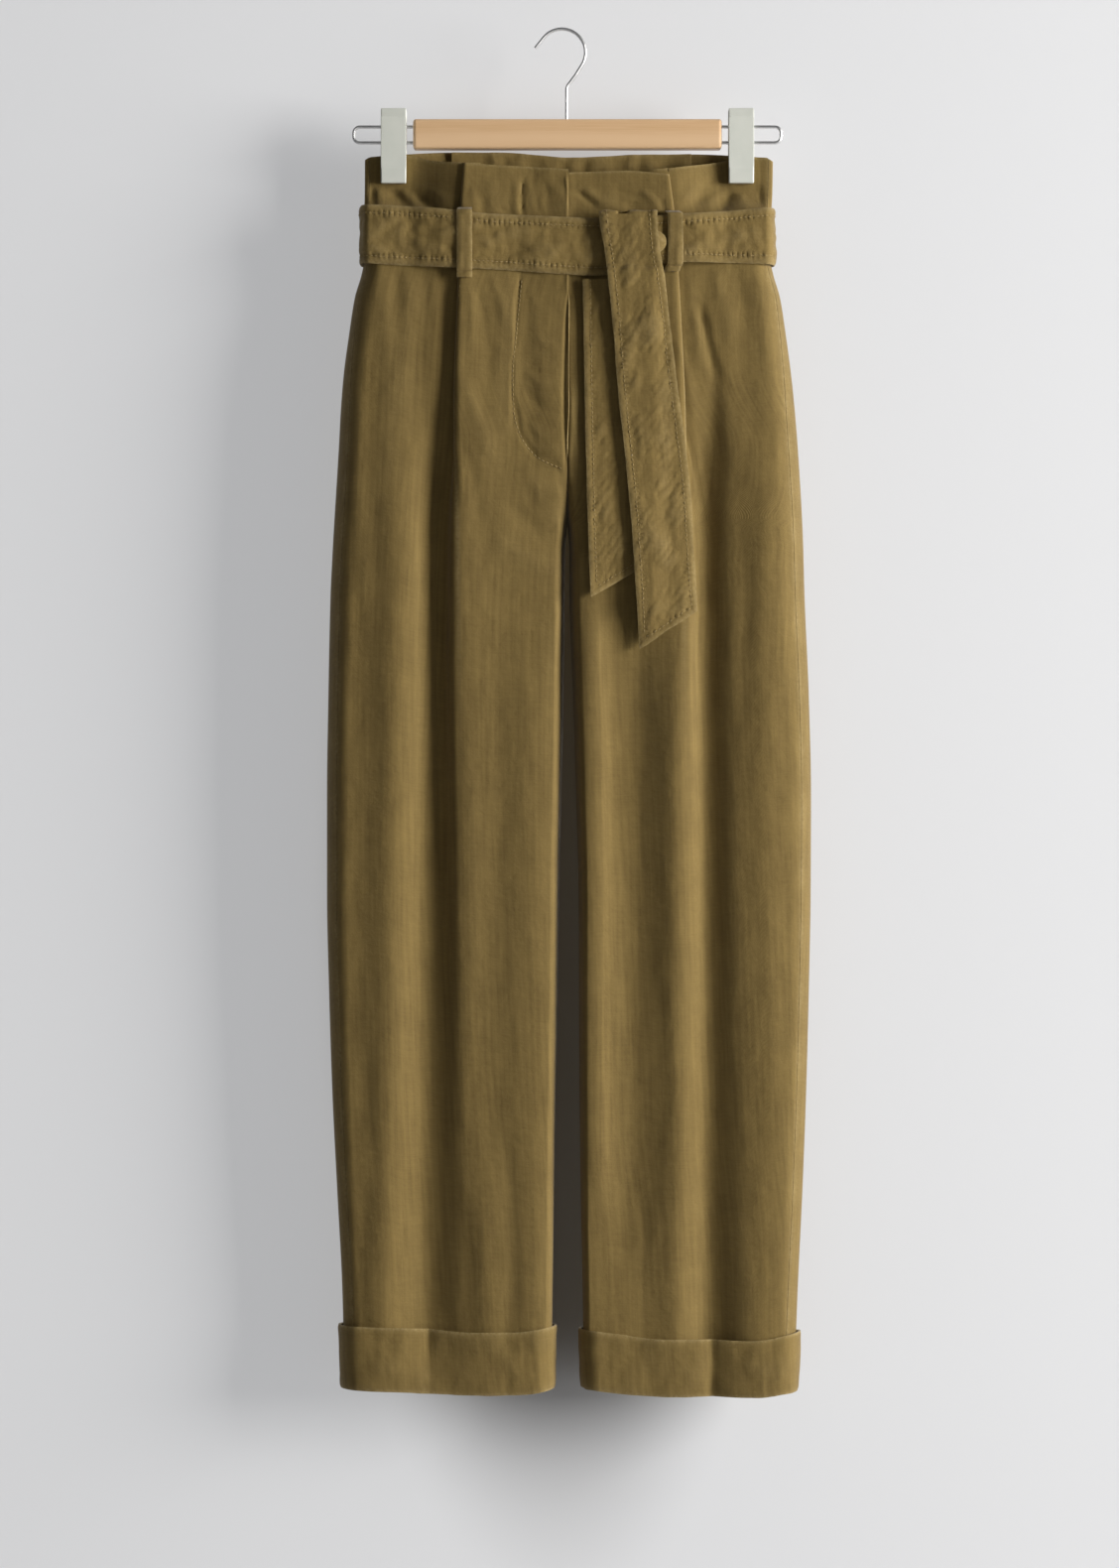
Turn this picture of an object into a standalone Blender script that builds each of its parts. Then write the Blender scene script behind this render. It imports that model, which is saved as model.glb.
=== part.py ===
"""Paperbag waist trousers with a tied sash belt, on a clip hanger.

All tables are in millimetres. "down" is measured below the crown of the hanger hook,
x from the middle of the garment, with the wearer's right at -x, and depths from the
flat middle plane of the garment. The front faces -Y.
"""

import bisect
import math

import bpy

MM = 0.001
COLLECTION = "paperbag_trousers"

# Cloth
CLOTH = 1.8
SASH = 2.6
FACING = 1.2
SEAM_GAP = 0.6
LAY_GAP = 0.45
MIDDLE_X = 5.5

# The sash: the height its ring is taken at, how far it clears the panels, the most it
# bridges outward over a fold, and how far the knot stands off it
BELT_BASE = 182.0
BELT_CLEAR = 1.5
BELT_BULGE = 4.0
KNOT = 5.4
KNOT_ENDS = (33.0, 82.4)
KNOT_HALF = 10.5

# Heights, all down from the hook's crown
BELT_LEVEL = 165.0
RELEASE_TOP = 290.0
RELEASE_END = 430.0
CLOSING_TOP = 352.0
CROTCH = 419.0
HEM = 1148.6

# Clips
CLIP_X = 147.0
CLIP_WIDTH = 21.4
CLIP_TOP = 66.4
CLIP_BOTTOM = 130.0
PINCHED = 2.1

# Hanger
BAR_LENGTH = 261.0
BAR_HEIGHT = 25.2
BAR_DEPTH = 16.0
BAR_MIDDLE = 88.2
WIRE = 3.0
WIRE_TIP = 182.3
WIRE_SPREAD = 13.4
SOCKET_DEPTH = 12.0
HOOK_RADIUS = 20.0
HOOK_MIDDLE_X = 0.8
STEM_X = 4.8

# Silhouette and depth of the two legs. Between the rows every column runs smoothly.
OUTLINE_COLUMNS = (
    "down", "right_outer", "right_inner", "left_inner", "left_outer", "front", "back", "roll")
OUTLINE = (
    (100, -171.5, 1.0, -6.0, 174.0, 13.0, 6.0, 9.0),
    (130, -171.6, 1.0, -6.0, 173.6, 15.0, 7.5, 11.0),
    (165, -172.4, 1.0, -6.0, 172.4, 19.0, 11.0, 15.0),
    (197, -172.6, 1.0, -6.0, 172.6, 20.0, 12.0, 17.0),
    (206, -174.2, 1.0, -6.0, 174.2, 20.5, 12.5, 17.5),
    (226, -180.0, 1.0, -6.0, 180.0, 22.0, 14.0, 19.0),
    (258, -185.0, 1.0, -6.0, 185.0, 24.0, 16.0, 20.0),
    (290, -189.3, 1.0, -6.0, 189.3, 26.0, 18.0, 21.0),
    (320, -191.8, 1.0, -3.6, 192.4, 26.6, 19.2, 21.5),
    (352, -193.5, -0.3, 0.3, 195.0, 27.0, 20.0, 22.0),
    (419, -197.6, -0.3, 0.3, 199.0, 27.0, 21.0, 22.0),
    (440, -198.8, -2.6, 3.8, 199.8, 27.0, 20.5, 22.0),
    (478, -200.6, -2.8, 4.2, 200.8, 26.5, 20.0, 22.0),
    (562, -202.4, -3.4, 5.8, 204.4, 25.0, 19.0, 21.0),
    (646, -203.6, -5.4, 8.0, 206.3, 24.0, 18.0, 20.0),
    (730, -203.6, -7.2, 9.4, 206.0, 22.5, 17.0, 19.0),
    (814, -201.8, -8.4, 9.8, 204.4, 21.0, 16.0, 18.0),
    (898, -199.1, -10.0, 10.2, 202.2, 19.5, 15.0, 17.0),
    (982, -194.9, -11.4, 11.2, 199.0, 18.0, 14.0, 16.0),
    (1066, -190.6, -12.4, 12.8, 195.0, 16.5, 13.0, 15.0),
    (1160, -188.4, -13.6, 14.2, 191.6, 15.5, 12.5, 14.0),
)

# The waist pleats: where the fold edge lies, how far the middle of the front stands over
# the side, how far the cloth goes back under the fold, and how wide the step has opened.
PLEAT_COLUMNS = ("down", "right_fold", "left_fold", "step", "underlap", "opening")
PLEATS = (
    (100, -87.6, 86.0, 5.4, 13.0, 1.0),
    (142, -90.3, 89.6, 5.6, 13.0, 1.0),
    (212, -92.4, 94.0, 6.4, 13.0, 1.0),
    (290, -95.4, 98.0, 7.6, 12.0, 1.5),
    (360, -97.6, 102.0, 8.2, 5.0, 3.5),
    (430, -98.9, 104.5, 8.0, 0.8, 6.0),
    (554, -100.0, 107.0, 7.0, 0.5, 9.0),
    (700, -98.5, 109.0, 5.0, 0.5, 13.0),
    (850, -97.0, 110.0, 3.0, 0.5, 18.0),
    (1000, -96.0, 110.5, 1.2, 0.5, 24.0),
    (1160, -95.0, 110.5, 0.4, 0.5, 30.0),
)
STEP_FADE = 62.0

# The largest folds. A fold runs from (x_top, top) to (x_low, low) and dies out over
# "ease" at each end. Its rise is towards the viewer in front and away behind.
FOLD_COLUMNS = ("top", "low", "x_top", "x_low", "width_top", "width_low", "rise", "ease")
FRONT_FOLDS = (
    (285, 1180, -109, -120, 12, 24, -8.5, 110),
    (330, 1250, -143, -157, 17, 20, 4.5, 120),
    (470, 1250, -28, -34, 22, 20, 3.0, 150),
    (900, 1230, -70, -62, 15, 13, 2.4, 120),
    (275, 1260, 116, 121, 12, 20, -8.0, 110),
    (300, 1260, 168, 166, 20, 22, 4.0, 130),
    (430, 1120, 58, 50, 22, 24, -5.0, 150),
    (480, 1260, 90, 96, 13, 16, 3.0, 160),
    (480, 1000, 22, 26, 12, 14, 3.0, 120),
)
BACK_FOLDS = (
    (260, 1230, -98, -104, 15, 24, -5.5, 150),
    (380, 1250, -146, -150, 20, 24, 3.5, 150),
    (470, 1210, -46, -50, 22, 24, 3.0, 160),
    (260, 1230, 96, 106, 15, 24, -5.5, 150),
    (400, 1250, 148, 150, 20, 24, 3.5, 150),
    (500, 1210, 44, 52, 22, 24, 3.0, 160),
)

# Top edges, from one side to the other: (x, down)
SIDE_TOP = {
    "right": ((-172, 110.5), (-166, 107.2), (-147, 106.0), (-136, 105.8), (-114, 111.0), (-84, 113.6)),
    "left": ((80, 119.0), (99, 116.3), (120, 113.2), (136, 110.0), (157, 107.4), (168, 107.8), (174, 111.5)),
}
CENTRE_TOP = {
    "right": ((-88, 113.6), (-65, 115.4), (-39, 116.8), (1, 119.4)),
    "left": ((-6, 122.0), (23, 121.2), (49, 120.4), (70, 121.8), (86, 123.6)),
}
BACK_TOP = (
    (-172, 110.0), (-166, 107.0), (-136, 104.6), (-94, 102.6), (-56, 102.6), (-27, 104.6), (0, 106.8),
    (32, 105.8), (57, 104.4), (101, 104.2), (136, 105.6), (167, 107.6), (174, 111.0))

# Belt edges along the front, and the hem and top of the cuffs: (x, down)
BELT_TOP = ((-175, 150.6), (-119, 153.7), (-65, 159.4), (-35, 160.6), (24, 162.8), (96, 159.6), (175, 153.0))
BELT_LOW = ((-175, 197.4), (-119, 200.8), (-44, 204.6), (24, 208.8), (96, 197.2), (175, 198.4))
BELT_BACK_SAG = 5.0
CUFF_TOP = {
    "right": ((-191, 1094.6), (-144, 1096.0), (-110, 1098.0), (-80, 1100.0), (-45, 1099.6), (-11, 1095.0)),
    "left": ((11, 1097.6), (40, 1101.0), (75, 1105.4), (124, 1106.2), (155, 1107.0), (195, 1100.0)),
}
CUFF_LOW = {
    "right": ((-191, 1147.4), (-144, 1149.6), (-80, 1152.6), (-34, 1151.6), (-11, 1147.0)),
    "left": ((11, 1146.6), (40, 1150.6), (82, 1153.6), (158, 1154.0), (195, 1149.6)),
}
CUFF_LIP = 2.0

# Belt loops: rows of a strip. The first three are measured down from its top, the fourth
# is at its middle and the rest are measured up from its lower end. The share is how far
# out towards the belt's face the row stands.
LOOP_HALF = 6.0
LOOP_WALL = 1.6
LOOP_ROWS = ((0.0, 0.0), (1.4, 0.6), (2.6, 1.0), (0.0, 1.08), (-1.6, 1.0), (-4.0, 0.35), (-9.0, 0.0))
LOOP_RISE = 3.8
FRONT_LOOPS = (("front_loop_right", -86.6, 0.0), ("front_loop_left", 87.8, 3.2))
BACK_LOOPS = (("back_loop_right", -78.0), ("back_loop_left", 78.0))

# The two hanging ends of the sash: down, left edge, right edge
FRONT_TAIL = (
    (153, 27.0, 74.6), (167, 28.1, 75.0), (188, 31.6, 77.0), (210, 34.4, 80.4), (251, 39.0, 85.7),
    (302, 43.6, 91.6), (344, 48.8, 97.2), (386, 53.4, 101.8), (444, 57.9, 105.2), (492, 61.0, 108.2))
FRONT_TAIL_TIP = 524.0
REAR_TAIL = ((213, 13.6, 58.0), (310, 15.2, 60.0), (369, 16.8, 62.0), (453, 19.8, 65.6))
REAR_TAIL_TIP = 480.5

COLOURS = {
    "twill": ((0.155, 0.112, 0.046), 0.85, 0.0),
    "sash": ((0.150, 0.108, 0.046), 0.85, 0.0),
    "pine": ((0.66, 0.44, 0.24), 0.5, 0.0),
    "clip_plastic": ((0.62, 0.63, 0.57), 0.45, 0.0),
    "steel": ((0.62, 0.62, 0.60), 0.25, 1.0),
}


def smooth_curve(points, at):
    """Monotone cubic through (place, value) points."""
    places = [p[0] for p in points]
    values = [p[1] for p in points]
    if at <= places[0]:
        return values[0]
    if at >= places[-1]:
        return values[-1]
    spans = [b - a for a, b in zip(places, places[1:])]
    slopes = [(b - a) / s for a, b, s in zip(values, values[1:], spans)]
    i = bisect.bisect_right(places, at) - 1

    def tangent(k):
        if k == 0:
            return slopes[0]
        if k == len(slopes):
            return slopes[-1]
        if slopes[k - 1] * slopes[k] <= 0:
            return 0.0
        return 2 * slopes[k - 1] * slopes[k] / (slopes[k - 1] + slopes[k])

    t = (at - places[i]) / spans[i]
    first = tangent(i) * spans[i]
    last = tangent(i + 1) * spans[i]
    rise = values[i + 1] - values[i]
    return values[i] + t * (first + t * (3 * rise - 2 * first - last + t * (first + last - 2 * rise)))


def column(table, names, name, down):
    k = names.index(name)
    return smooth_curve([(row[0], row[k]) for row in table], down)


def outline(name, down):
    return column(OUTLINE, OUTLINE_COLUMNS, name, down)


def pleat(name, down):
    return column(PLEATS, PLEAT_COLUMNS, name, down)


def ease(t):
    """0 below 0, 1 above 1, smooth between."""
    t = min(1.0, max(0.0, t))
    return t * t * (3 - 2 * t)


def rounded(distance, reach):
    """Share of the full depth at this distance from an edge that rounds away over reach."""
    t = min(1.0, max(0.0, distance / reach))
    return math.sqrt(1 - (1 - t) ** 2)


def fold_relief(folds, x, down):
    total = 0.0
    for row in folds:
        fold = dict(zip(FOLD_COLUMNS, row))
        along = (down - fold["top"]) / (fold["low"] - fold["top"])
        middle = fold["x_top"] + (fold["x_low"] - fold["x_top"]) * along
        width = fold["width_top"] + (fold["width_low"] - fold["width_top"]) * along
        fade = ease((down - fold["top"]) / fold["ease"]) * ease((fold["low"] - down) / fold["ease"])
        total += fold["rise"] * fade * math.exp(-(((x - middle) / width) ** 2))
    return total


def step_relief(x, down):
    """How far the pleats hold the middle of the front out, the same for both fronts."""
    total = 0.0
    for side, inward in (("right", 1), ("left", -1)):
        inside = (x - pleat(side + "_fold", down)) * inward
        raised = ease(inside / pleat("opening", down) + 0.5)
        total += pleat("step", down) * raised * math.exp(-max(0.0, inside) / STEP_FADE)
    return total


def pinch(x, down):
    """1 where a clip holds the layers together, 0 away from it."""
    across = 1 - ease((abs(abs(x) - CLIP_X) - 18.0) / 26.0)
    return across * (1 - ease((down - CLIP_BOTTOM - 3.0) / 38.0))


def closing(down):
    """How far the front and back have curved in to the crotch seam: 0 above, 1 at the crotch."""
    t = min(1.0, max(0.0, (down - CLOSING_TOP) / (CROTCH - CLOSING_TOP)))
    return 1 - math.sqrt(1 - t * t)


def fly_lap(x, down):
    """The wearer's right front lies over the left one at the fly."""
    return 2.5 * ease((x + 34.0) / 22.0) * (1 - ease((down - CLOSING_TOP) / 50.0))


def full_depth(side, face, x, down):
    """How far out the front or back would stand at x if its edges didn't round away."""
    from_outer = abs(x - outline(side + "_outer", down))
    folds = FRONT_FOLDS if face == "front" else BACK_FOLDS
    depth = outline(face, down) + fold_relief(folds, x, down) * rounded(from_outer, 30.0)
    if face == "front":
        depth += step_relief(x, down)
        if side == "right":
            depth += fly_lap(x, down)
    return depth + (PINCHED - depth) * pinch(x, down)


def face_depth(side, face, x, down):
    """Outer surface of the front or back at x, measured out from the middle plane."""
    from_outer = abs(x - outline(side + "_outer", down))
    from_inner = abs(x - outline(side + "_inner", down))
    depth = full_depth(side, face, x, down) * rounded(from_outer, outline("roll", down))
    inner = rounded(from_inner, outline("roll", down))
    return depth * (1 - closing(down) * (1 - inner))


def seam_reach(down):
    """How far in from the side, on the front, the outseam lies."""
    return 4.0 + 5.0 * ease((down - 200.0) / 150.0)


def roll_points(side, face, first, last, count, down):
    """Points (x, depth) round the side, from distance first to distance last off the edge."""
    reach = outline("roll", down)
    outer = outline(side + "_outer", down)
    inward = 1 if side == "right" else -1
    turns = [math.acos(max(-1.0, 1 - d / reach)) for d in (first, last)]
    points = []
    for k in range(count):
        turn = turns[0] + (turns[1] - turns[0]) * k / (count - 1)
        x = outer + inward * reach * (1 - math.cos(turn))
        points.append((x, face_depth(side, face, x, down)))
    return points


def pleat_points(side, down):
    """The pleat as a Z fold that opens out lower down: side layer, turn, return layer, fold edge."""
    inward = 1 if side == "right" else -1
    fold = pleat(side + "_fold", down)
    under = pleat("underlap", down)
    low = face_depth(side, "front", fold - inward * 4.0, down)
    high = face_depth(side, "front", fold + inward * 4.0, down)
    back = low + 0.5
    bend = (high - back) / 2
    folded = (
        (-2.0, low), (under, low), (under + 0.35, low + 0.25), (under, back), (bend, back),
        (bend * 0.3, back + bend * 0.3), (0.0, back + bend), (bend * 0.3, high - bend * 0.3), (bend, high))
    released = ease((down - RELEASE_TOP) / (RELEASE_END - RELEASE_TOP))
    spread = 2.0 + 0.01 * (down - RELEASE_TOP)
    points = []
    for k, (along, depth) in enumerate(folded):
        x_open = fold + inward * spread * (k - (len(folded) - 1) / 2)
        open_depth = face_depth(side, "front", x_open, down)
        x = fold + inward * along
        points.append((x + (x_open - x) * released, depth + (open_depth - depth) * released))
    return points


def inner_edge(side, face, inner, down):
    """The last points of a panel, rounding in to its inner edge and ending square to the seam."""
    inward = 1 if side == "right" else -1
    reach = outline("roll", down)
    end = max(face_depth(side, face, inner, down), SEAM_GAP / 2)
    points = []
    for share in (0.44, 0.11, 0.05):
        x = inner - inward * reach * share
        points.append((x, max(end, face_depth(side, face, x, down))))
    if closing(down) > 0.5:
        points[-1] = (inner, end + 1.4)
    return points + [(inner, end)]


def front_section(side, down):
    """Outer points (x, depth, layer) of one leg front, from the outseam to the inner edge."""
    inward = 1 if side == "right" else -1
    reach = outline("roll", down)
    seam = seam_reach(down) + SEAM_GAP / 2
    points = roll_points(side, "front", seam, seam + 0.9, 2, down)
    points += roll_points(side, "front", seam + 0.9, reach * 0.98, 3, down)[1:]
    folds = pleat_points(side, down)
    start = points[-1][0]
    end = folds[0][0]
    for k in range(1, 4):
        x = start + (end - start) * k / 4
        points.append((x, face_depth(side, "front", x, down)))
    points = [(x, depth, "side") for x, depth in points]
    points += [(x, depth, "side" if k < 5 else "centre") for k, (x, depth) in enumerate(folds)]
    inner = outline(side + "_inner", down)
    start = folds[-1][0]
    flat_end = inner - inward * reach * 0.98
    for k in range(1, 5):
        x = start + (flat_end - start) * k / 4
        points.append((x, face_depth(side, "front", x, down), "centre"))
    return points + [(x, depth, "centre") for x, depth in inner_edge(side, "front", inner, down)]


def back_section(side, down):
    """Outer points (x, signed depth) from the outseam on the front, round the side, to the inner edge."""
    inward = 1 if side == "right" else -1
    reach = outline("roll", down)
    seam = seam_reach(down) - SEAM_GAP / 2
    points = roll_points(side, "front", seam, seam - 0.9, 2, down)
    points += roll_points(side, "front", seam - 0.9, 0.8, 2, down)[1:]
    points = [(x, -depth) for x, depth in points]
    points += roll_points(side, "back", 0.0, reach * 0.98, 4, down)
    start = points[-1][0]
    inner = outline(side + "_inner", down)
    if down < CROTCH:
        inner = -inward * SEAM_GAP / 2
    flat_end = inner - inward * reach * 0.98
    for k in range(1, 6):
        x = start + (flat_end - start) * k / 5
        points.append((x, face_depth(side, "back", x, down)))
    return points + inner_edge(side, "back", inner, down)


def levels(*stops):
    """Heights from (height, number of steps to the next) pairs."""
    found = []
    for (here, steps), (there, _) in zip(stops, stops[1:]):
        found += [here + (there - here) * k / steps for k in range(steps)]
    return found + [stops[-1][0]]


PANEL_LEVELS = levels(
    (100, 2), (130, 2), (BELT_LEVEL, 2), (212, 2), (260, 1), (RELEASE_TOP, 2), (CLOSING_TOP, 1), (385, 1),
    (408, 1), (CROTCH, 1), (430, 1), (470, 2), (600, 3), (980, 2), (HEM, 0))


def raised(x, down, top_edge):
    """The level down as it runs at x, where the rows above the belt follow the top edge."""
    if down >= BELT_LEVEL:
        return down
    top = smooth_curve(top_edge, x)
    return top + (BELT_LEVEL - top) * (down - 100) / (BELT_LEVEL - 100)


def place(x, depth, down):
    """A point in metres, from x, depth towards the viewer and height below the hook."""
    return ((x + MIDDLE_X) * MM, -depth * MM, -down * MM)


def add_object(name, mesh, material):
    made = bpy.data.objects.new(name, mesh)
    bpy.data.collections[COLLECTION].objects.link(made)
    made.data.materials.append(bpy.data.materials[material])
    return made


def sheet(name, rows, wall, material, outward=False, closed=False):
    """A cloth wall on rows of points, top row first, that run round the garment with the sun."""
    count = len(rows[0])
    points = [point for row in rows for point in row]
    faces = []
    for r in range(len(rows) - 1):
        for c in range(count if closed else count - 1):
            d = (c + 1) % count
            faces.append((r * count + c, (r + 1) * count + c, (r + 1) * count + d, r * count + d))
    mesh = bpy.data.meshes.new(name)
    mesh.from_pydata(points, [], faces)
    mesh.shade_smooth()
    made = add_object(name, mesh, material)
    thickness = made.modifiers.new("Cloth", "SOLIDIFY")
    thickness.thickness = wall * MM
    thickness.offset = 1 if outward else -1
    return made


def build_fronts():
    for side in ("right", "left"):
        rows = []
        for down in PANEL_LEVELS:
            row = []
            for x, depth, layer in front_section(side, down):
                top_edge = SIDE_TOP[side] if layer == "side" else CENTRE_TOP[side]
                row.append(place(x, depth, raised(x, down, top_edge)))
            rows.append(row if side == "right" else row[::-1])
        sheet(side + "_front", rows, CLOTH, "twill")


def build_backs():
    for side in ("right", "left"):
        rows = []
        for down in PANEL_LEVELS:
            row = [place(x, -depth, raised(x, down, BACK_TOP)) for x, depth in back_section(side, down)]
            rows.append(row[::-1] if side == "right" else row)
        sheet(side + "_back", rows, CLOTH, "twill")


def build_facing():
    """The deep facing inside the back's top edge, seen between the clips."""
    first, last, low = -98.0, 105.0, 152.0
    inset = CLOTH + 2 * LAY_GAP
    rows = []
    for r in range(4):
        row = []
        for c in range(13):
            x = last + (first - last) * c / 12
            top = smooth_curve(BACK_TOP, x) + 0.3
            down = top + (low - top) * r / 3
            side = "right" if x < 0 else "left"
            depth = min(face_depth(side, "back", x + near, down) for near in (-8, 0, 8)) - inset
            row.append(place(x, -depth, down))
        rows.append(row)
    sheet("back_waist_facing", rows, FACING, "twill")


def leg_ring(side, down, out):
    """Closed ring round a leg at this height, moved out from the panels."""
    inward = 1 if side == "right" else -1
    reach = outline("roll", down)
    outer = outline(side + "_outer", down) - inward * out
    inner = outline(side + "_inner", down) + inward * out
    ring = []
    for face, sign in (("front", 1), ("back", -1)):
        places = [outer + (inner - outer) * (1 - math.cos(math.pi * k / 13)) / 2 for k in range(14)]
        if (sign == 1) != (side == "right"):
            places.reverse()
        for x in places[:-1]:
            edge = min(abs(x - outer), abs(x - inner))
            full = max(full_depth(side, face, x + near, down) - 0.006 * near * near for near in range(-15, 16, 3))
            ring.append((x, sign * (full + out) * rounded(edge, reach)))
    return ring


def build_cuffs():
    for side in ("right", "left"):
        rows = []
        for share in (0.0, 0.33, 0.66, 1.0):
            row = []
            for x, depth in leg_ring(side, 1096.0 + (HEM - 1096.0) * share, LAY_GAP + 0.55):
                top = smooth_curve(CUFF_TOP[side], x)
                low = smooth_curve(CUFF_LOW[side], x)
                row.append(place(x, depth, top + (low - top) * share))
            rows.append(row)
        sheet(side + "_cuff", rows, CUFF_LIP, "twill", outward=True, closed=True)


def belt_depth(x, down, extra):
    """Belt's surface over the front: the panels' outermost points bridged over, moved out."""
    bridged = 0.0
    for k in range(-8, 9):
        near = x + 3.0 * k
        side = "right" if near < 0 else "left"
        edge = outline(side + "_outer", down)
        if abs(near) < abs(edge):
            bridged = max(bridged, face_depth(side, "front", near, down) - 0.02 * (near - x) ** 2)
    side = "right" if x < 0 else "left"
    outer = abs(outline(side + "_outer", down)) + extra
    full = outline("front", down) + pleat("step", down) + extra
    return min(bridged + extra, full * rounded(outer - abs(x), outline("roll", down)))


def belt_ring(down, extra, first, last):
    """Points (x, depth) from x = first on the front round by +x and the back to x = last."""
    reach = outline("roll", down)
    left = outline("left_outer", down) + extra
    right = outline("right_outer", down) - extra
    turns = [math.pi / 2 * k / 4 for k in range(5)]
    left_roll = [left - reach * (1 - math.sin(t)) for t in turns]
    right_roll = [right + reach * (1 - math.cos(t)) for t in turns]
    front_left = [first + (left_roll[0] - first) * k / 9 for k in range(9)] + left_roll
    ring = [(x, belt_depth(x, down, extra)) for x in front_left[:-1]]
    back = left_roll[::-1] + [left_roll[0] + (right_roll[-1] - left_roll[0]) * k / 10 for k in range(1, 10)]
    back += right_roll[::-1]
    full = outline("back", down) + extra
    for x in back[:-1]:
        ring.append((x, -full * rounded(min(left - x, x - right), reach)))
    front_right = right_roll + [right_roll[-1] + (last - right_roll[-1]) * k / 14 for k in range(1, 15)]
    ring += [(x, belt_depth(x, down, extra)) for x in front_right]
    return ring


def belt_edge(x, depth, share):
    """Height of the belt at x: share 0 at its top edge, 1 at its lower edge."""
    top = smooth_curve(BELT_TOP, x)
    low = smooth_curve(BELT_LOW, x)
    if depth < 0:
        sag = BELT_BACK_SAG * (1 - (x / 175.0) ** 2)
        top = 151.0 + sag
        low = 198.0 + sag
    return top + (low - top) * share


def waist_clear(x):
    """Distance out that clears the panels over the whole height of the belt."""
    return max(belt_depth(x, down, 0.0) for down in (152, 166, 182, 196, 208))


def belt_inside(x):
    """Inner face of the belt at x on the front."""
    depth = belt_depth(x, BELT_BASE, BELT_CLEAR)
    return max(depth, min(waist_clear(x) + LAY_GAP, depth + BELT_BULGE))


def belt_outside(x):
    return belt_inside(x) + SASH


def build_belt():
    rows = []
    for share in (0.0, 0.5, 1.0):
        row = []
        for x, depth in belt_ring(BELT_BASE, BELT_CLEAR, 50.0, 46.0):
            if depth > 0:
                depth = belt_inside(x)
            row.append(place(x, depth, belt_edge(x, depth, share)))
        rows.append(row)
    sheet("belt_wrap", rows, SASH, "sash", outward=True)


def bridged_front(x, down, reach, sharpness):
    """The front's outermost surface near x, bridged over its folds."""
    best = 0.0
    for k in range(-6, 7):
        near = x + reach * k / 6
        side = "right" if near < 0 else "left"
        inner = outline(side + "_inner", down)
        if down < CROTCH or abs(near) > abs(inner):
            best = max(best, face_depth(side, "front", near, down) - sharpness * (near - x) ** 2)
    return best


def loop(name, middle, bow, top, low, surface, out, sign):
    """A belt loop: a strip that leaves the panel above the belt, crosses it and comes back below."""
    rows = []
    for k, (along, share) in enumerate(LOOP_ROWS):
        down = top + along if k < 3 else low - along
        if k == 3:
            down = (top + low) / 2
        across = [middle + bow * math.sin(math.pi * k / (len(LOOP_ROWS) - 1)) + j * LOOP_HALF for j in (-1, 0, 1)]
        row = []
        for x in across[::sign]:
            skin = surface(x, down) + LAY_GAP
            row.append(place(x, sign * (skin + (out - skin) * share), down))
        rows.append(row)
    sheet(name, rows, LOOP_WALL, "twill", outward=True)


def build_loops():
    for name, middle, bow in FRONT_LOOPS:
        out = max(belt_outside(middle + k * LOOP_HALF) for k in (-1, 0, 1)) + LAY_GAP
        top = smooth_curve(BELT_TOP, middle) - LOOP_RISE
        low = smooth_curve(BELT_LOW, middle)
        loop(name, middle, bow, top, low, lambda x, down: bridged_front(x, down, 5.0, 0.0), out, 1)
    for name, middle in BACK_LOOPS:
        side = "right" if middle < 0 else "left"
        out = outline("back", BELT_BASE) + BELT_CLEAR + SASH + LAY_GAP
        top = belt_edge(middle, -1.0, 0.0) - LOOP_RISE
        low = belt_edge(middle, -1.0, 1.0)
        loop(name, middle, 0.0, top, low, lambda x, down: face_depth(side, "back", x, down), out, -1)


def over_belt(down):
    """1 beside the belt, dying away below it."""
    return math.exp(-max(0.0, down - 214.0) / 42.0)


def rear_tail_depth(x, down):
    return bridged_front(x, down, 24.0, 0.012) + LAY_GAP + 2.4 * over_belt(down)


def front_tail_depth(x, down):
    rear = (1 - ease((x - 70.0) / 16.0)) * (1 - ease((down - 482.0) / 40.0))
    free = bridged_front(x, down, 24.0, 0.012) + LAY_GAP + (SASH + LAY_GAP + 0.4) * rear + 8.2 * over_belt(down)
    if down > 214:
        return free
    wrapped = belt_outside(x) + KNOT + LAY_GAP
    return max(wrapped, free) if down > 205 else wrapped


def tail_rows(edges, tip, downs, columns, depth_at):
    """Rows across a hanging end of the sash, whose lower end is cut on the slant."""
    last = edges[-1]
    rows = []
    for down in downs:
        left = smooth_curve([(row[0], row[1]) for row in edges], down)
        right = smooth_curve([(row[0], row[2]) for row in edges], down)
        row = []
        for c in range(columns):
            share = c / (columns - 1)
            x = left + (right - left) * share
            lengthen = (tip - last[0]) * (1 - share) * ease((down - edges[0][0]) / (last[0] - edges[0][0]))
            row.append(place(x, depth_at(x, down + lengthen), down + lengthen))
        rows.append(row)
    return rows


def build_tails():
    rear_downs = levels((213.4, 5), (453, 0))
    rows = tail_rows(REAR_TAIL, REAR_TAIL_TIP, rear_downs, 5, rear_tail_depth)
    sheet("belt_tail_rear", rows, SASH, "sash", outward=True)
    front_downs = levels((156, 3), (208, 2), (240, 5), (492, 0))
    rows = tail_rows(FRONT_TAIL, FRONT_TAIL_TIP, front_downs, 6, front_tail_depth)
    over = []
    for rise, inside in ((2.3, 6.0), (2.9, 3.0)):
        row = []
        for c in range(6):
            x = FRONT_TAIL[0][1] + (FRONT_TAIL[0][2] - FRONT_TAIL[0][1]) * c / 5
            edge = smooth_curve(BELT_TOP, x)
            row.append(place(x, belt_outside(x) + KNOT + LAY_GAP - inside, edge - rise))
        over.append(row)
    sheet("belt_tail_front", over + rows, SASH, "sash", outward=True)


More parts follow.
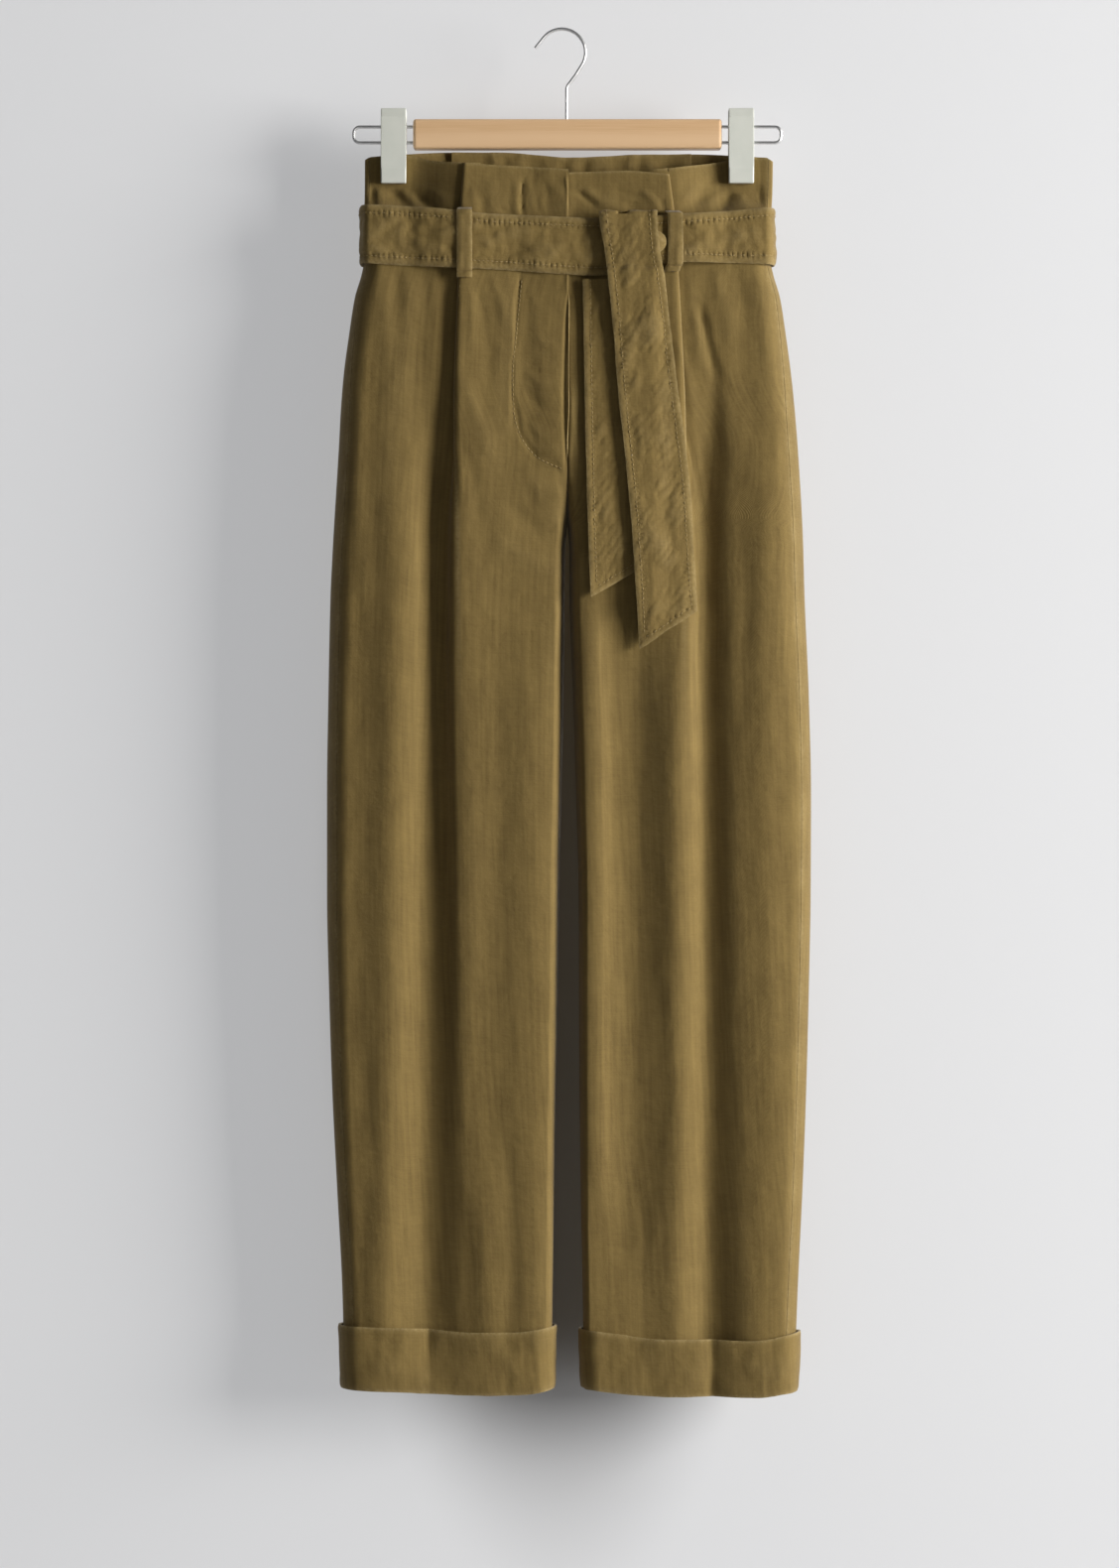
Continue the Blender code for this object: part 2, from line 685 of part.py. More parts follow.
def build_knot():
    """The turn of the tie under the front end, a flat pillow on the belt's face."""
    rows_down, columns = 6, 8
    first, last = KNOT_ENDS
    outer = []
    inner = []
    for r in range(rows_down + 1):
        v = math.cos(math.pi * r / rows_down)
        for c in range(columns + 1):
            u = -math.cos(math.pi * c / columns)
            x = (first + last) / 2 + u * (last - first) / 2
            down = BELT_BASE - v * KNOT_HALF * math.sqrt(max(0.08, 1 - abs(u) ** 4))
            swell = math.sqrt(max(0.0, 1 - abs(u) ** 3)) * math.sqrt(max(0.0, 1 - v * v))
            skin = belt_outside(x) + LAY_GAP
            outer.append(place(x, skin + 0.6 + (KNOT - 1.5) * swell, down))
            inner.append(place(x, skin, down))
    points = outer + inner
    count = columns + 1
    total = len(outer)
    faces = []
    for r in range(rows_down):
        for c in range(columns):
            a = r * count + c
            b = a + count
            faces.append((a, b, b + 1, a + 1))
            faces.append((total + a + 1, total + b + 1, total + b, total + a))
    rim = list(range(count)) + [r * count + columns for r in range(1, rows_down + 1)]
    rim += [rows_down * count + c for c in range(columns - 1, -1, -1)]
    rim += [r * count for r in range(rows_down - 1, 0, -1)]
    for a, b in zip(rim, rim[1:] + rim[:1]):
        faces.append((a, b, total + b, total + a))
    mesh = bpy.data.meshes.new("belt_knot")
    mesh.from_pydata(points, [], faces)
    mesh.shade_smooth()
    add_object("belt_knot", mesh, "sash")


def wire(name, route, material):
    """A round wire along points in metres, as a mesh with welded caps."""
    curve = bpy.data.curves.new(name, "CURVE")
    curve.dimensions = "3D"
    curve.bevel_depth = WIRE / 2 * MM
    curve.bevel_resolution = 2
    curve.use_fill_caps = True
    spline = curve.splines.new("POLY")
    spline.points.add(len(route) - 1)
    for point, place_at in zip(spline.points, route):
        point.co = (*place_at, 1.0)
    return add_object(name, curve, material)


def build_hook():
    """Straight stem out of the bar, then a slanting run into the round crown."""
    centre_down = HOOK_RADIUS - WIRE / 2
    bend_top, bend_low, bend_out = 44.0, 50.0, 2.8
    points = [(STEM_X, down) for down in (BAR_MIDDLE, 75.0, 62.0, 52.0)]
    for t in (0.0, 0.25, 0.5, 0.75, 1.0):
        points.append((STEM_X + bend_out * t * t, bend_low + (bend_top - bend_low) * t))
    leave = math.radians(-38)
    arc_x = HOOK_MIDDLE_X + HOOK_RADIUS * math.cos(leave)
    arc_down = centre_down - HOOK_RADIUS * math.sin(leave)
    points.append(((STEM_X + bend_out + arc_x) / 2 + 0.4, (bend_top + arc_down) / 2))
    for k in range(17):
        turn = leave + math.radians(183) * k / 16
        points.append((HOOK_MIDDLE_X + HOOK_RADIUS * math.cos(turn), centre_down - HOOK_RADIUS * math.sin(turn)))
    end_x, end_down = points[-1]
    for run in (5.0, 10.0):
        points.append((end_x - run * 0.62, end_down + run * 0.79))
    wire("hanger_hook", [(x * MM, 0.0, -down * MM) for x, down in points], "steel")


def build_wire_loops():
    for name, sign in (("wire_loop_right", -1), ("wire_loop_left", 1)):
        inner = BAR_LENGTH / 2 - SOCKET_DEPTH + 0.6
        corner = 5.0
        half = WIRE_SPREAD / 2
        tip = WIRE_TIP - WIRE / 2
        points = [(inner, -half), (BAR_LENGTH / 2, -half), (CLIP_X, -half), (tip - corner, -half)]
        for k in range(1, 6):
            turn = -math.pi / 2 + math.pi / 2 * k / 5
            points.append((tip - corner + corner * math.cos(turn), -half + corner + corner * math.sin(turn)))
        points += [(x, -rise) for x, rise in points[::-1]]
        route = [((x * sign + MIDDLE_X) * MM, 0.0, (rise - BAR_MIDDLE) * MM) for x, rise in points]
        wire(name, route, "steel")


def box(name, size, middle, material):
    bpy.ops.mesh.primitive_cube_add(size=1, location=middle)
    made = bpy.context.active_object
    made.scale = size
    bpy.ops.object.transform_apply(location=False, rotation=False, scale=True)
    made.name = name
    for holder in list(made.users_collection):
        holder.objects.unlink(made)
    bpy.data.collections[COLLECTION].objects.link(made)
    made.data.materials.append(bpy.data.materials[material])
    return made


def drill(target, start, axis, length, radius):
    """A round hole through or into the target, cut by a rod that is left out of the part."""
    bpy.ops.mesh.primitive_cylinder_add(vertices=16, radius=radius, depth=length, location=start)
    rod = bpy.context.active_object
    if axis == "X":
        rod.rotation_euler = (0, math.pi / 2, 0)
    rod.name = "cutter_" + target.name
    rod.hide_render = True
    rod.display_type = "WIRE"
    for holder in list(rod.users_collection):
        holder.objects.unlink(rod)
    bpy.data.collections["cutters"].objects.link(rod)
    cut = target.modifiers.new("Hole", "BOOLEAN")
    cut.object = rod
    cut.operation = "DIFFERENCE"


def build_bar():
    bar = box(
        "hanger_bar", (BAR_LENGTH * MM, BAR_DEPTH * MM, BAR_HEIGHT * MM),
        (MIDDLE_X * MM, 0, -BAR_MIDDLE * MM), "pine")
    edge = bar.modifiers.new("Rounded edges", "BEVEL")
    edge.width = 2.4 * MM
    edge.segments = 3
    clear = (WIRE / 2 + 0.35) * MM
    for sign in (-1, 1):
        for rise in (-WIRE_SPREAD / 2, WIRE_SPREAD / 2):
            end = (MIDDLE_X + sign * BAR_LENGTH / 2) * MM
            drill(bar, (end, 0, (rise - BAR_MIDDLE) * MM), "X", 2 * SOCKET_DEPTH * MM, clear)
    depth = BAR_HEIGHT / 2 + 1.0
    top = -(BAR_MIDDLE - BAR_HEIGHT / 2) * MM
    drill(bar, (STEM_X * MM, 0, top), "Z", 2 * depth * MM, clear)


# Cross-section of a clip's jaw: (depth, down), from the top of the outer face round
JAW = (
    (7.6, 66.4), (9.6, 74.0), (9.8, 118.0), (8.4, 130.0), (2.5, 130.0), (2.5, 117.0), (5.2, 106.0), (5.2, 66.4))


def jaw(name, middle, facing):
    """One jaw: its cross-section run across the clip's width."""
    curve = bpy.data.curves.new(name, "CURVE")
    curve.dimensions = "2D"
    curve.fill_mode = "BOTH"
    curve.extrude = CLIP_WIDTH / 2 * MM
    spline = curve.splines.new("POLY")
    spline.points.add(len(JAW) - 1)
    spline.use_cyclic_u = True
    for point, (depth, down) in zip(spline.points, JAW):
        point.co = (depth * MM, -down * MM, 0, 1)
    made = add_object(name, curve, "clip_plastic")
    made.rotation_euler = (math.pi / 2, 0, -math.pi / 2 if facing == "front" else math.pi / 2)
    made.location = ((middle + MIDDLE_X) * MM, 0, 0)
    weld = made.modifiers.new("Weld", "WELD")
    weld.merge_threshold = 0.00001
    edge = made.modifiers.new("Rounded edges", "BEVEL")
    edge.width = 1.0 * MM
    edge.segments = 2
    return made


def build_clips():
    clear = (WIRE / 2 + 0.35) * MM
    for side, sign in (("right", -1), ("left", 1)):
        middle = sign * CLIP_X
        jaw("clip_" + side + "_front_jaw", middle, "front")
        jaw("clip_" + side + "_back_jaw", middle, "back")
        carrier = box(
            "clip_" + side + "_carrier", (17.0 * MM, 9.6 * MM, 30.0 * MM),
            ((middle + MIDDLE_X) * MM, 0, -BAR_MIDDLE * MM), "clip_plastic")
        edge = carrier.modifiers.new("Rounded edges", "BEVEL")
        edge.width = 0.8 * MM
        edge.segments = 2
        for rise in (-WIRE_SPREAD / 2, WIRE_SPREAD / 2):
            drill(carrier, ((middle + MIDDLE_X) * MM, 0, (rise - BAR_MIDDLE) * MM), "X", 30 * MM, clear)


def add_materials():
    for name, (colour, roughness, metallic) in COLOURS.items():
        material = bpy.data.materials.new(name)
        material.use_nodes = True
        shader = material.node_tree.nodes["Principled BSDF"]
        shader.inputs["Base Color"].default_value = (*colour, 1)
        shader.inputs["Roughness"].default_value = roughness
        shader.inputs["Metallic"].default_value = metallic


def main():
    for obj in list(bpy.data.objects):
        bpy.data.objects.remove(obj)
    for name in (COLLECTION, "cutters"):
        bpy.context.scene.collection.children.link(bpy.data.collections.new(name))
    bpy.data.collections["cutters"].hide_render = True
    add_materials()
    build_fronts()
    build_backs()
    build_facing()
    build_cuffs()
    build_belt()
    build_loops()
    build_knot()
    build_tails()
    build_bar()
    build_hook()
    build_wire_loops()
    build_clips()


main()
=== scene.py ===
import math

import bpy
import numpy as np
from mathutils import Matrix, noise


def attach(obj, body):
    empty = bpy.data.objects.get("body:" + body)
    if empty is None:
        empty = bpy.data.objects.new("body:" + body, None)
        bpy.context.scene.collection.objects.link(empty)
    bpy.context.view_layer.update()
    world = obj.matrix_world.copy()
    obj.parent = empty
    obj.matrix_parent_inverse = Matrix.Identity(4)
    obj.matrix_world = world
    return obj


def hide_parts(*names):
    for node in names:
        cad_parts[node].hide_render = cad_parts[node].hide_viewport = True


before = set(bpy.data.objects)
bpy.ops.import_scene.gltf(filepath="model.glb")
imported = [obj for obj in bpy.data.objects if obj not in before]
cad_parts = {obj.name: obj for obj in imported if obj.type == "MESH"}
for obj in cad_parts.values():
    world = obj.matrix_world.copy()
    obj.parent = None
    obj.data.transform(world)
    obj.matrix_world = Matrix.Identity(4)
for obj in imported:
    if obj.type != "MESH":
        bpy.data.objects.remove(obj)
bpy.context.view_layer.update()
print("frame loaded:", len(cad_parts), "nodes")

mm = 0.001
middleX = 5.5  # the garment hangs this far to the side of the hook
inwards = {"right": 1, "left": -1}  # the way in from each of the wearer's sides

garment = {
    "clothWall": 1.3,
    "sashWall": 2.4,
    "seamGap": 0.3,
    "layGap": 0.45,
    "topRow": 100.0,
    "beltLevel": 165.0,
    "releaseTop": 290.0,
    "releaseEnd": 430.0,
    "closingTop": 352.0,
    "crotch": 419.0,
    "hem": 1148.6,
    "innerRoll": 0.42,  # the legs' inner edges take this share of the side's roll
    "stepFade": 62.0,
}

clips = {"x": 147.0, "bottom": 130.0, "pinched": 2.1, "half": 14.0, "fade": 46.0, "below": 3.0, "drop": 38.0}
fly = {"lap": 2.5, "from": -34.0, "rise": 22.0, "fall": 50.0}

silhouette = {
    "names": ("down", "rightOuter", "rightInner", "leftInner", "leftOuter", "front", "back", "roll"),
    "rows": (
        (100, -171.5, 1.0, -6.0, 174.0, 13.0, 6.0, 9.0),
        (130, -171.6, 1.0, -6.0, 173.6, 15.0, 7.5, 11.0),
        (165, -172.4, 1.0, -6.0, 172.4, 19.0, 11.0, 15.0),
        (197, -172.6, 1.0, -6.0, 172.6, 20.0, 12.0, 17.0),
        (206, -174.2, 1.0, -6.0, 174.2, 20.5, 12.5, 17.5),
        (226, -180.0, 1.0, -6.0, 180.0, 22.0, 14.0, 19.0),
        (258, -185.0, 1.0, -6.0, 185.0, 24.0, 16.0, 20.0),
        (290, -189.3, 1.0, -6.0, 189.3, 26.0, 18.0, 21.0),
        (320, -191.8, 1.0, -3.6, 192.4, 26.6, 19.2, 21.5),
        (352, -193.5, -0.3, 0.3, 195.0, 27.0, 20.0, 22.0),
        (419, -197.6, -0.3, 0.3, 199.0, 27.0, 21.0, 22.0),
        (440, -198.8, -2.2, 1.6, 199.8, 27.0, 20.5, 22.0),
        (478, -200.6, -2.6, 1.8, 200.8, 26.5, 20.0, 22.0),
        (562, -202.4, -3.4, 4.6, 204.4, 25.0, 19.0, 21.0),
        (646, -203.6, -5.2, 7.2, 206.3, 24.0, 18.0, 20.0),
        (730, -203.6, -7.2, 9.4, 206.0, 22.5, 17.0, 19.0),
        (814, -201.8, -8.4, 9.8, 204.4, 21.0, 16.0, 18.0),
        (898, -199.1, -10.0, 10.2, 202.2, 19.5, 15.0, 17.0),
        (982, -194.9, -11.4, 11.2, 199.0, 18.0, 14.0, 16.0),
        (1066, -190.6, -12.4, 12.8, 195.0, 16.5, 13.0, 15.0),
        (1160, -188.4, -13.6, 14.2, 191.6, 15.5, 12.5, 14.0),
    ),
}

waistPleats = {
    "names": ("down", "rightFold", "leftFold", "step", "underlap", "opening"),
    "rows": (
        (100, -87.6, 86.0, 3.6, 13.0, 1.0),
        (142, -90.3, 89.6, 4.0, 13.0, 1.0),
        (212, -92.4, 94.0, 6.0, 13.0, 1.0),
        (290, -95.4, 98.0, 7.6, 12.0, 1.5),
        (360, -97.6, 102.0, 8.2, 5.0, 3.5),
        (430, -98.9, 104.5, 8.0, 0.8, 6.0),
        (554, -100.0, 107.0, 7.0, 0.5, 9.0),
        (700, -98.5, 109.0, 5.0, 0.5, 13.0),
        (850, -97.0, 110.0, 3.0, 0.5, 18.0),
        (1000, -96.0, 110.5, 1.2, 0.5, 24.0),
        (1160, -95.0, 110.5, 0.4, 0.5, 30.0),
    ),
}

# long folds: top, low, x at top, x at low, width at top, width at low, rise, easing at the ends
longFolds = {
    "front": (
        (285, 1180, -109, -120, 12, 24, -9.5, 110),
        (330, 1250, -143, -157, 17, 20, 4.5, 120),
        (470, 1250, -28, -34, 22, 20, 3.0, 150),
        (900, 1230, -70, -62, 15, 13, 2.4, 120),
        (275, 1260, 116, 121, 12, 20, -9.0, 110),
        (300, 1260, 168, 166, 20, 22, 4.0, 130),
        (430, 1120, 58, 50, 22, 24, -5.0, 150),
        (480, 1260, 90, 96, 13, 16, 3.0, 160),
        (450, 1020, 19, 24, 11, 14, 5.5, 90),
    ),
    "back": (
        (260, 1230, -98, -104, 15, 24, -5.5, 150),
        (380, 1250, -146, -150, 20, 24, 3.5, 150),
        (470, 1210, -46, -50, 22, 24, 3.0, 160),
        (260, 1230, 96, 106, 15, 24, -5.5, 150),
        (400, 1250, 148, 150, 20, 24, 3.5, 150),
        (500, 1210, 44, 52, 22, 24, 3.0, 160),
    ),
}

creaseShape = {"bend": 0.025, "startFade": 0.35, "startShare": 0.4, "endFade": 0.5, "endShare": 0.3}

# creases: x and down of one end, x and down of the other, width, height
creases = {
    "front": (
        # held in by the clips, above the belt
        (-149, 133, -135, 152, 4.5, -2.0), (-128, 137, -106, 155, 4.5, -2.3), (-140, 131, -119, 153, 4.5, 1.6),
        (-160, 130, -156, 154, 5.0, 1.5), (-165, 120, -163, 154, 3.0, -0.9), (-118, 126, -98, 146, 6.0, 1.0),
        (124, 113, 107, 147, 5.0, -2.0), (138, 132, 129, 155, 4.0, -1.8), (146, 134, 150, 155, 5.0, 1.4),
        (131, 126, 117, 153, 5.0, 1.5), (160, 122, 163, 154, 4.0, -1.2), (110, 118, 98, 140, 5.0, 1.0),
        # ruffle between the pleats
        (-80, 128, -79, 164, 3.0, 0.5), (-72, 134, -71, 164, 3.5, -0.5), (-63, 116, -60, 164, 6.0, 0.7),
        (-49, 119, -50, 163, 4.0, -0.45), (-43, 116, -42, 164, 2.6, 0.5), (-37, 112, -37, 166, 1.3, -1.4),
        (-31, 118, -28, 164, 3.6, 0.7), (-19, 117, -15, 164, 4.5, -1.1), (-5, 119, -5, 165, 3.4, 0.8),
        (8, 124, 24, 146, 3.4, -1.3), (15, 122, 36, 146, 6.0, 1.1), (34, 128, 40, 156, 7.0, 0.9),
        (52, 138, 57, 160, 7.0, -1.1), (12, 156, 34, 163, 3.0, -1.0), (64, 124, 80, 152, 5.0, 0.9),
        (79, 134, 84, 160, 2.6, -0.9), (40, 123, 62, 133, 4.0, -0.6), (-58, 148, -40, 162, 3.4, -0.6),
        # the edge of the overlap
        (3.4, 108, 3.4, 170, 1.6, -1.9), (-1.4, 108, -1.4, 170, 2.0, 1.0),
        (3.0, 196, 2.8, 420, 1.5, -1.3), (-1.6, 196, -1.6, 410, 2.0, 0.9),
        (-45.5, 312, -40, 346, 1.5, -1.1), (-41, 342, -24, 364, 1.5, -1.2), (-28, 361, -5, 373, 1.5, -1.2),
        # falling from the belt
        (-157, 205, -152, 420, 10.0, 1.2), (-143, 205, -146, 300, 6.0, -0.6), (-132, 205, -138, 340, 9.0, 1.2),
        (-121, 205, -121, 280, 5.0, -0.6), (-174, 207, -182, 330, 6.0, 0.6), (-105, 205, -107, 330, 6.0, -1.6),
        (-84, 212, -80, 280, 3.6, 0.5), (-76, 216, -66, 300, 4.5, -0.6), (-62, 214, -50, 260, 5.0, 0.7),
        (-50, 214, -62, 352, 8.0, 0.9), (-38.5, 204, -43, 268, 1.3, -1.2), (-43, 256, -45, 345, 1.3, -1.2),
        (-46, 230, -50, 340, 3.4, 0.8), (-31, 215, -26, 290, 5.0, 0.6), (-19, 215, -14, 270, 4.0, -0.6),
        (-34, 292, -10, 318, 4.0, 0.8), (-36, 306, -10, 340, 3.2, -0.8), (-30, 335, -8, 360, 4.0, 0.8),
        (-20, 352, -4, 384, 3.2, -0.8), (-10, 386, -3, 412, 3.5, 0.7), (-24, 262, -12, 284, 3.5, 0.6),
        (12, 212, 20, 330, 4.0, -1.0), (24, 212, 30, 340, 5.0, 0.9), (3, 300, 16, 400, 4.0, 1.0),
        (113, 236, 127, 300, 3.6, -2.2), (123, 286, 134, 392, 6.5, -1.1), (103, 215, 110, 290, 5.0, 1.1),
        (124, 206, 138, 270, 6.0, 0.8), (142, 206, 150, 262, 5.0, -0.6), (158, 206, 168, 330, 9.0, 0.9),
        (94, 268, 106, 330, 4.0, 0.8), (112, 320, 122, 420, 6.0, 0.9), (105, 226, 114, 250, 3.0, -0.7),
        # drawn from the crotch
        (-4, 425, -36, 372, 6.0, 1.2), (-6, 440, -52, 400, 7.0, -1.2), (-8, 462, -70, 425, 9.0, 1.0),
        (-10, 500, -78, 470, 10.0, -0.9), (-6, 430, -16, 560, 5.0, 1.0), (8, 440, 40, 408, 7.0, -1.4),
        (8, 462, 56, 430, 9.0, 1.3), (12, 500, 66, 478, 10.0, -1.0), (10, 440, 20, 560, 5.0, 1.2),
        (-88, 300, -60, 380, 7.0, 1.1), (-92, 340, -70, 440, 7.0, -0.9),
        # soft hollows down the legs
        (-182, 420, -186, 640, 7.0, -0.6), (-172, 380, -176, 560, 8.0, 0.5), (-128, 420, -130, 640, 8.0, 0.6),
        (-60, 560, -64, 760, 10.0, -0.5), (-84, 620, -82, 840, 8.0, 0.45), (-150, 720, -146, 940, 9.0, 0.5),
        (-40, 760, -30, 940, 9.0, -0.4), (-170, 860, -172, 1060, 8.0, -0.45), (-134, 1000, -128, 1130, 8.0, 0.55),
        (-52, 940, -50, 1130, 6.0, -0.5), (-84, 1010, -86, 1130, 7.0, -0.45), (-24, 980, -26, 1100, 6.0, 0.4),
        (148, 420, 144, 620, 8.0, -0.65), (182, 420, 186, 640, 7.0, -0.4), (70, 520, 66, 720, 9.0, 0.5),
        (36, 560, 34, 740, 8.0, -0.5), (134, 640, 136, 860, 9.0, 0.5), (160, 760, 156, 960, 9.0, -0.45),
        (76, 800, 80, 980, 8.0, -0.45), (40, 800, 44, 1000, 8.0, 0.5), (180, 900, 176, 1080, 7.0, 0.45),
        (106, 960, 108, 1130, 7.0, 0.45), (62, 980, 60, 1130, 6.0, -0.5), (144, 1000, 150, 1130, 8.0, 0.5),
        (26, 1000, 24, 1110, 6.0, -0.4),
    ),
    "back": (
        (-149, 133, -132, 153, 5.0, -1.6), (-124, 124, -104, 150, 6.0, 1.3), (-158, 130, -156, 154, 5.0, 1.2),
        (149, 133, 132, 153, 5.0, -1.6), (124, 124, 106, 150, 6.0, 1.3), (159, 130, 157, 154, 5.0, 1.2),
        (-84, 112, -84, 160, 5.0, -1.1), (-64, 112, -63, 162, 5.0, 1.1), (-44, 112, -45, 162, 4.5, -1.2),
        (-24, 114, -22, 162, 5.0, 1.0), (22, 114, 24, 162, 5.0, 1.0), (42, 112, 41, 162, 4.5, -1.2),
        (62, 112, 63, 162, 5.0, 1.1), (86, 112, 84, 160, 5.0, -1.1),
        (-150, 205, -154, 320, 8.0, 1.5), (-136, 205, -138, 310, 6.0, -1.4), (-112, 205, -118, 320, 7.0, 1.3),
        (-84, 206, -88, 330, 7.0, -1.3), (-60, 206, -62, 330, 8.0, 1.4), (-34, 206, -36, 320, 7.0, -1.2),
        (150, 205, 154, 320, 8.0, 1.5), (137, 205, 139, 310, 6.0, -1.4), (110, 205, 117, 320, 7.0, 1.3),
        (86, 206, 89, 330, 7.0, -1.3), (58, 206, 61, 330, 8.0, 1.4), (33, 206, 37, 320, 7.0, -1.2),
        (-6, 430, -60, 396, 9.0, 1.6), (-8, 452, -80, 424, 10.0, -1.4), (-10, 480, -92, 470, 12.0, 1.2),
        (6, 430, 58, 398, 9.0, 1.6), (8, 452, 78, 426, 10.0, -1.4), (10, 480, 94, 468, 12.0, 1.2),
        (-170, 480, -176, 700, 9.0, -1.1), (-70, 560, -74, 780, 10.0, -1.2), (-130, 700, -128, 900, 10.0, 1.2),
        (-40, 820, -38, 1000, 9.0, 1.0), (-90, 900, -86, 1120, 9.0, 1.0), (-160, 960, -156, 1130, 8.0, -1.0),
        (170, 470, 176, 690, 9.0, -1.1), (72, 570, 75, 790, 10.0, -1.2), (128, 710, 126, 910, 10.0, 1.2),
        (42, 810, 40, 1000, 9.0, 1.0), (92, 900, 88, 1120, 9.0, 1.0), (158, 960, 155, 1130, 8.0, -1.0),
    ),
}

topEdges = {
    "right": ((-172, 110.5), (-166, 107.2), (-147, 106.0), (-136, 105.8), (-114, 111.0), (-84, 113.6)),
    "left": ((80, 119.0), (99, 116.3), (120, 113.2), (136, 110.0), (157, 107.4), (168, 107.8), (174, 111.5)),
    "rightCentre": ((-88, 113.6), (-65, 115.4), (-39, 116.8), (1, 119.4)),
    "leftCentre": ((-6, 122.0), (23, 121.2), (49, 120.4), (70, 121.8), (86, 123.6)),
    "back": (
        (-172, 110.0), (-166, 107.0), (-136, 104.6), (-94, 102.6), (-56, 102.6), (-27, 104.6), (0, 106.8),
        (32, 105.8), (57, 104.4), (101, 104.2), (136, 105.6), (167, 107.6), (174, 111.0)),
}


def curveThrough(points, at):  # monotone cubic through (place, value) points
    places = np.array([p[0] for p in points], float)
    values = np.array([p[1] for p in points], float)
    at = np.clip(at, places[0], places[-1])
    spans = np.diff(places)
    slopes = np.diff(values) / spans
    before, after = slopes[:-1], slopes[1:]
    same = before * after > 0
    tangents = np.concatenate((
        slopes[:1], np.where(same, 2 * before * after / np.where(same, before + after, 1), 0), slopes[-1:]))
    i = np.clip(np.searchsorted(places, at, side="right") - 1, 0, len(spans) - 1)
    t = (at - places[i]) / spans[i]
    first = tangents[i] * spans[i]
    last = tangents[i + 1] * spans[i]
    rise = values[i + 1] - values[i]
    return values[i] + t * (first + t * (3 * rise - 2 * first - last + t * (first + last - 2 * rise)))


def ease(t):
    t = np.clip(t, 0.0, 1.0)
    return t * t * (3 - 2 * t)


def rounded(distance, reach):
    t = np.clip(distance / reach, 0.0, 1.0)
    return np.sqrt(1 - (1 - t) ** 2)


rowsKnown = {}


def rowAt(down):  # every column of the silhouette and of the pleats at one height
    key = round(float(down), 3)
    if key not in rowsKnown:
        found = {}
        for table in (silhouette, waistPleats):
            for k, name in enumerate(table["names"][1:], 1):
                found[name] = float(curveThrough([(row[0], row[k]) for row in table["rows"]], key))
        rowsKnown[key] = found
    return rowsKnown[key]


def foldRelief(face, x, down):
    total = np.zeros_like(x)
    for top, low, xTop, xLow, widthTop, widthLow, rise, fadeOver in longFolds[face]:
        fade = float(ease((down - top) / fadeOver) * ease((low - down) / fadeOver))
        if fade > 0:
            along = (down - top) / (low - top)
            middle = xTop + (xLow - xTop) * along
            width = widthTop + (widthLow - widthTop) * along
            total = total + rise * fade * np.exp(-(((x - middle) / width) ** 2))
    return total


def stepRelief(x, down):
    row = rowAt(down)
    total = np.zeros_like(x)
    for side, inward in inwards.items():
        inside = (x - row[side + "Fold"]) * inward
        raisedShare = ease(inside / row["opening"] + 0.5)
        total = total + row["step"] * raisedShare * np.exp(-np.maximum(0.0, inside) / garment["stepFade"])
    return total


def pinch(x, down):  # 1 inside the clips' jaws, fading sideways and below them
    across = 1 - ease((np.abs(np.abs(x) - clips["x"]) - clips["half"]) / clips["fade"])
    return across * (1 - ease((down - clips["bottom"] - clips["below"]) / clips["drop"]))


def closing(down):  # 0 where the two legs are one, 1 where they have parted
    top = garment["closingTop"]
    t = min(1.0, max(0.0, (down - top) / (garment["crotch"] - top)))
    return 1 - math.sqrt(1 - t * t)


def flyLap(x, down):
    closed = ease((down - garment["closingTop"]) / fly["fall"])
    return fly["lap"] * ease((x - fly["from"]) / fly["rise"]) * (1 - closed)


def fullDepth(side, face, x, down):
    row = rowAt(down)
    fromOuter = np.abs(x - row[side + "Outer"])
    depth = row[face] + foldRelief(face, x, down) * rounded(fromOuter, 30.0)
    if face == "front":
        depth = depth + stepRelief(x, down)
        if side == "right":
            depth = depth + flyLap(x, down)
    return depth + (clips["pinched"] - depth) * pinch(x, down)


def faceDepth(side, face, x, down):
    x = np.asarray(x, float)
    row = rowAt(down)
    depth = fullDepth(side, face, x, down) * rounded(np.abs(x - row[side + "Outer"]), row["roll"])
    inner = rounded(np.abs(x - row[side + "Inner"]), row["roll"] * garment["innerRoll"])
    return depth * (1 - closing(down) * (1 - inner))


def frontDepth(x, down):  # both fronts together, nothing beyond their outer edges
    row = rowAt(down)
    depth = np.where(x < 0, faceDepth("right", "front", x, down), faceDepth("left", "front", x, down))
    outside = (x < row["rightOuter"]) | (x > row["leftOuter"])
    if down > garment["crotch"]:
        outside = outside | ((x > row["rightInner"]) & (x < row["leftInner"]))
    return np.where(outside, 0.0, depth)


def creaseRelief(face, x, down):
    total = np.zeros_like(x)
    for xA, downA, xB, downB, width, height in creases[face]:
        runX, runDown = xB - xA, downB - downA
        length = math.hypot(runX, runDown)
        turn = 1 if (xA + downA) % 2 < 1 else -1
        along = ((x - xA) * runX + (down - downA) * runDown) / length
        bend = creaseShape["bend"] * length * np.sin(math.pi * np.clip(along / length, 0, 1)) * turn
        across = ((x - xA) * runDown - (down - downA) * runX) / length - bend
        started = along / (creaseShape["startFade"] * length) + creaseShape["startShare"]
        ending = (length - along) / (creaseShape["endFade"] * length) + creaseShape["endShare"]
        sharp = width * (0.75 + 0.5 * np.clip(along / length, 0, 1))
        total = total + height * (ease(started) * ease(ending)) * np.exp(-(across / sharp) ** 2)
    return total


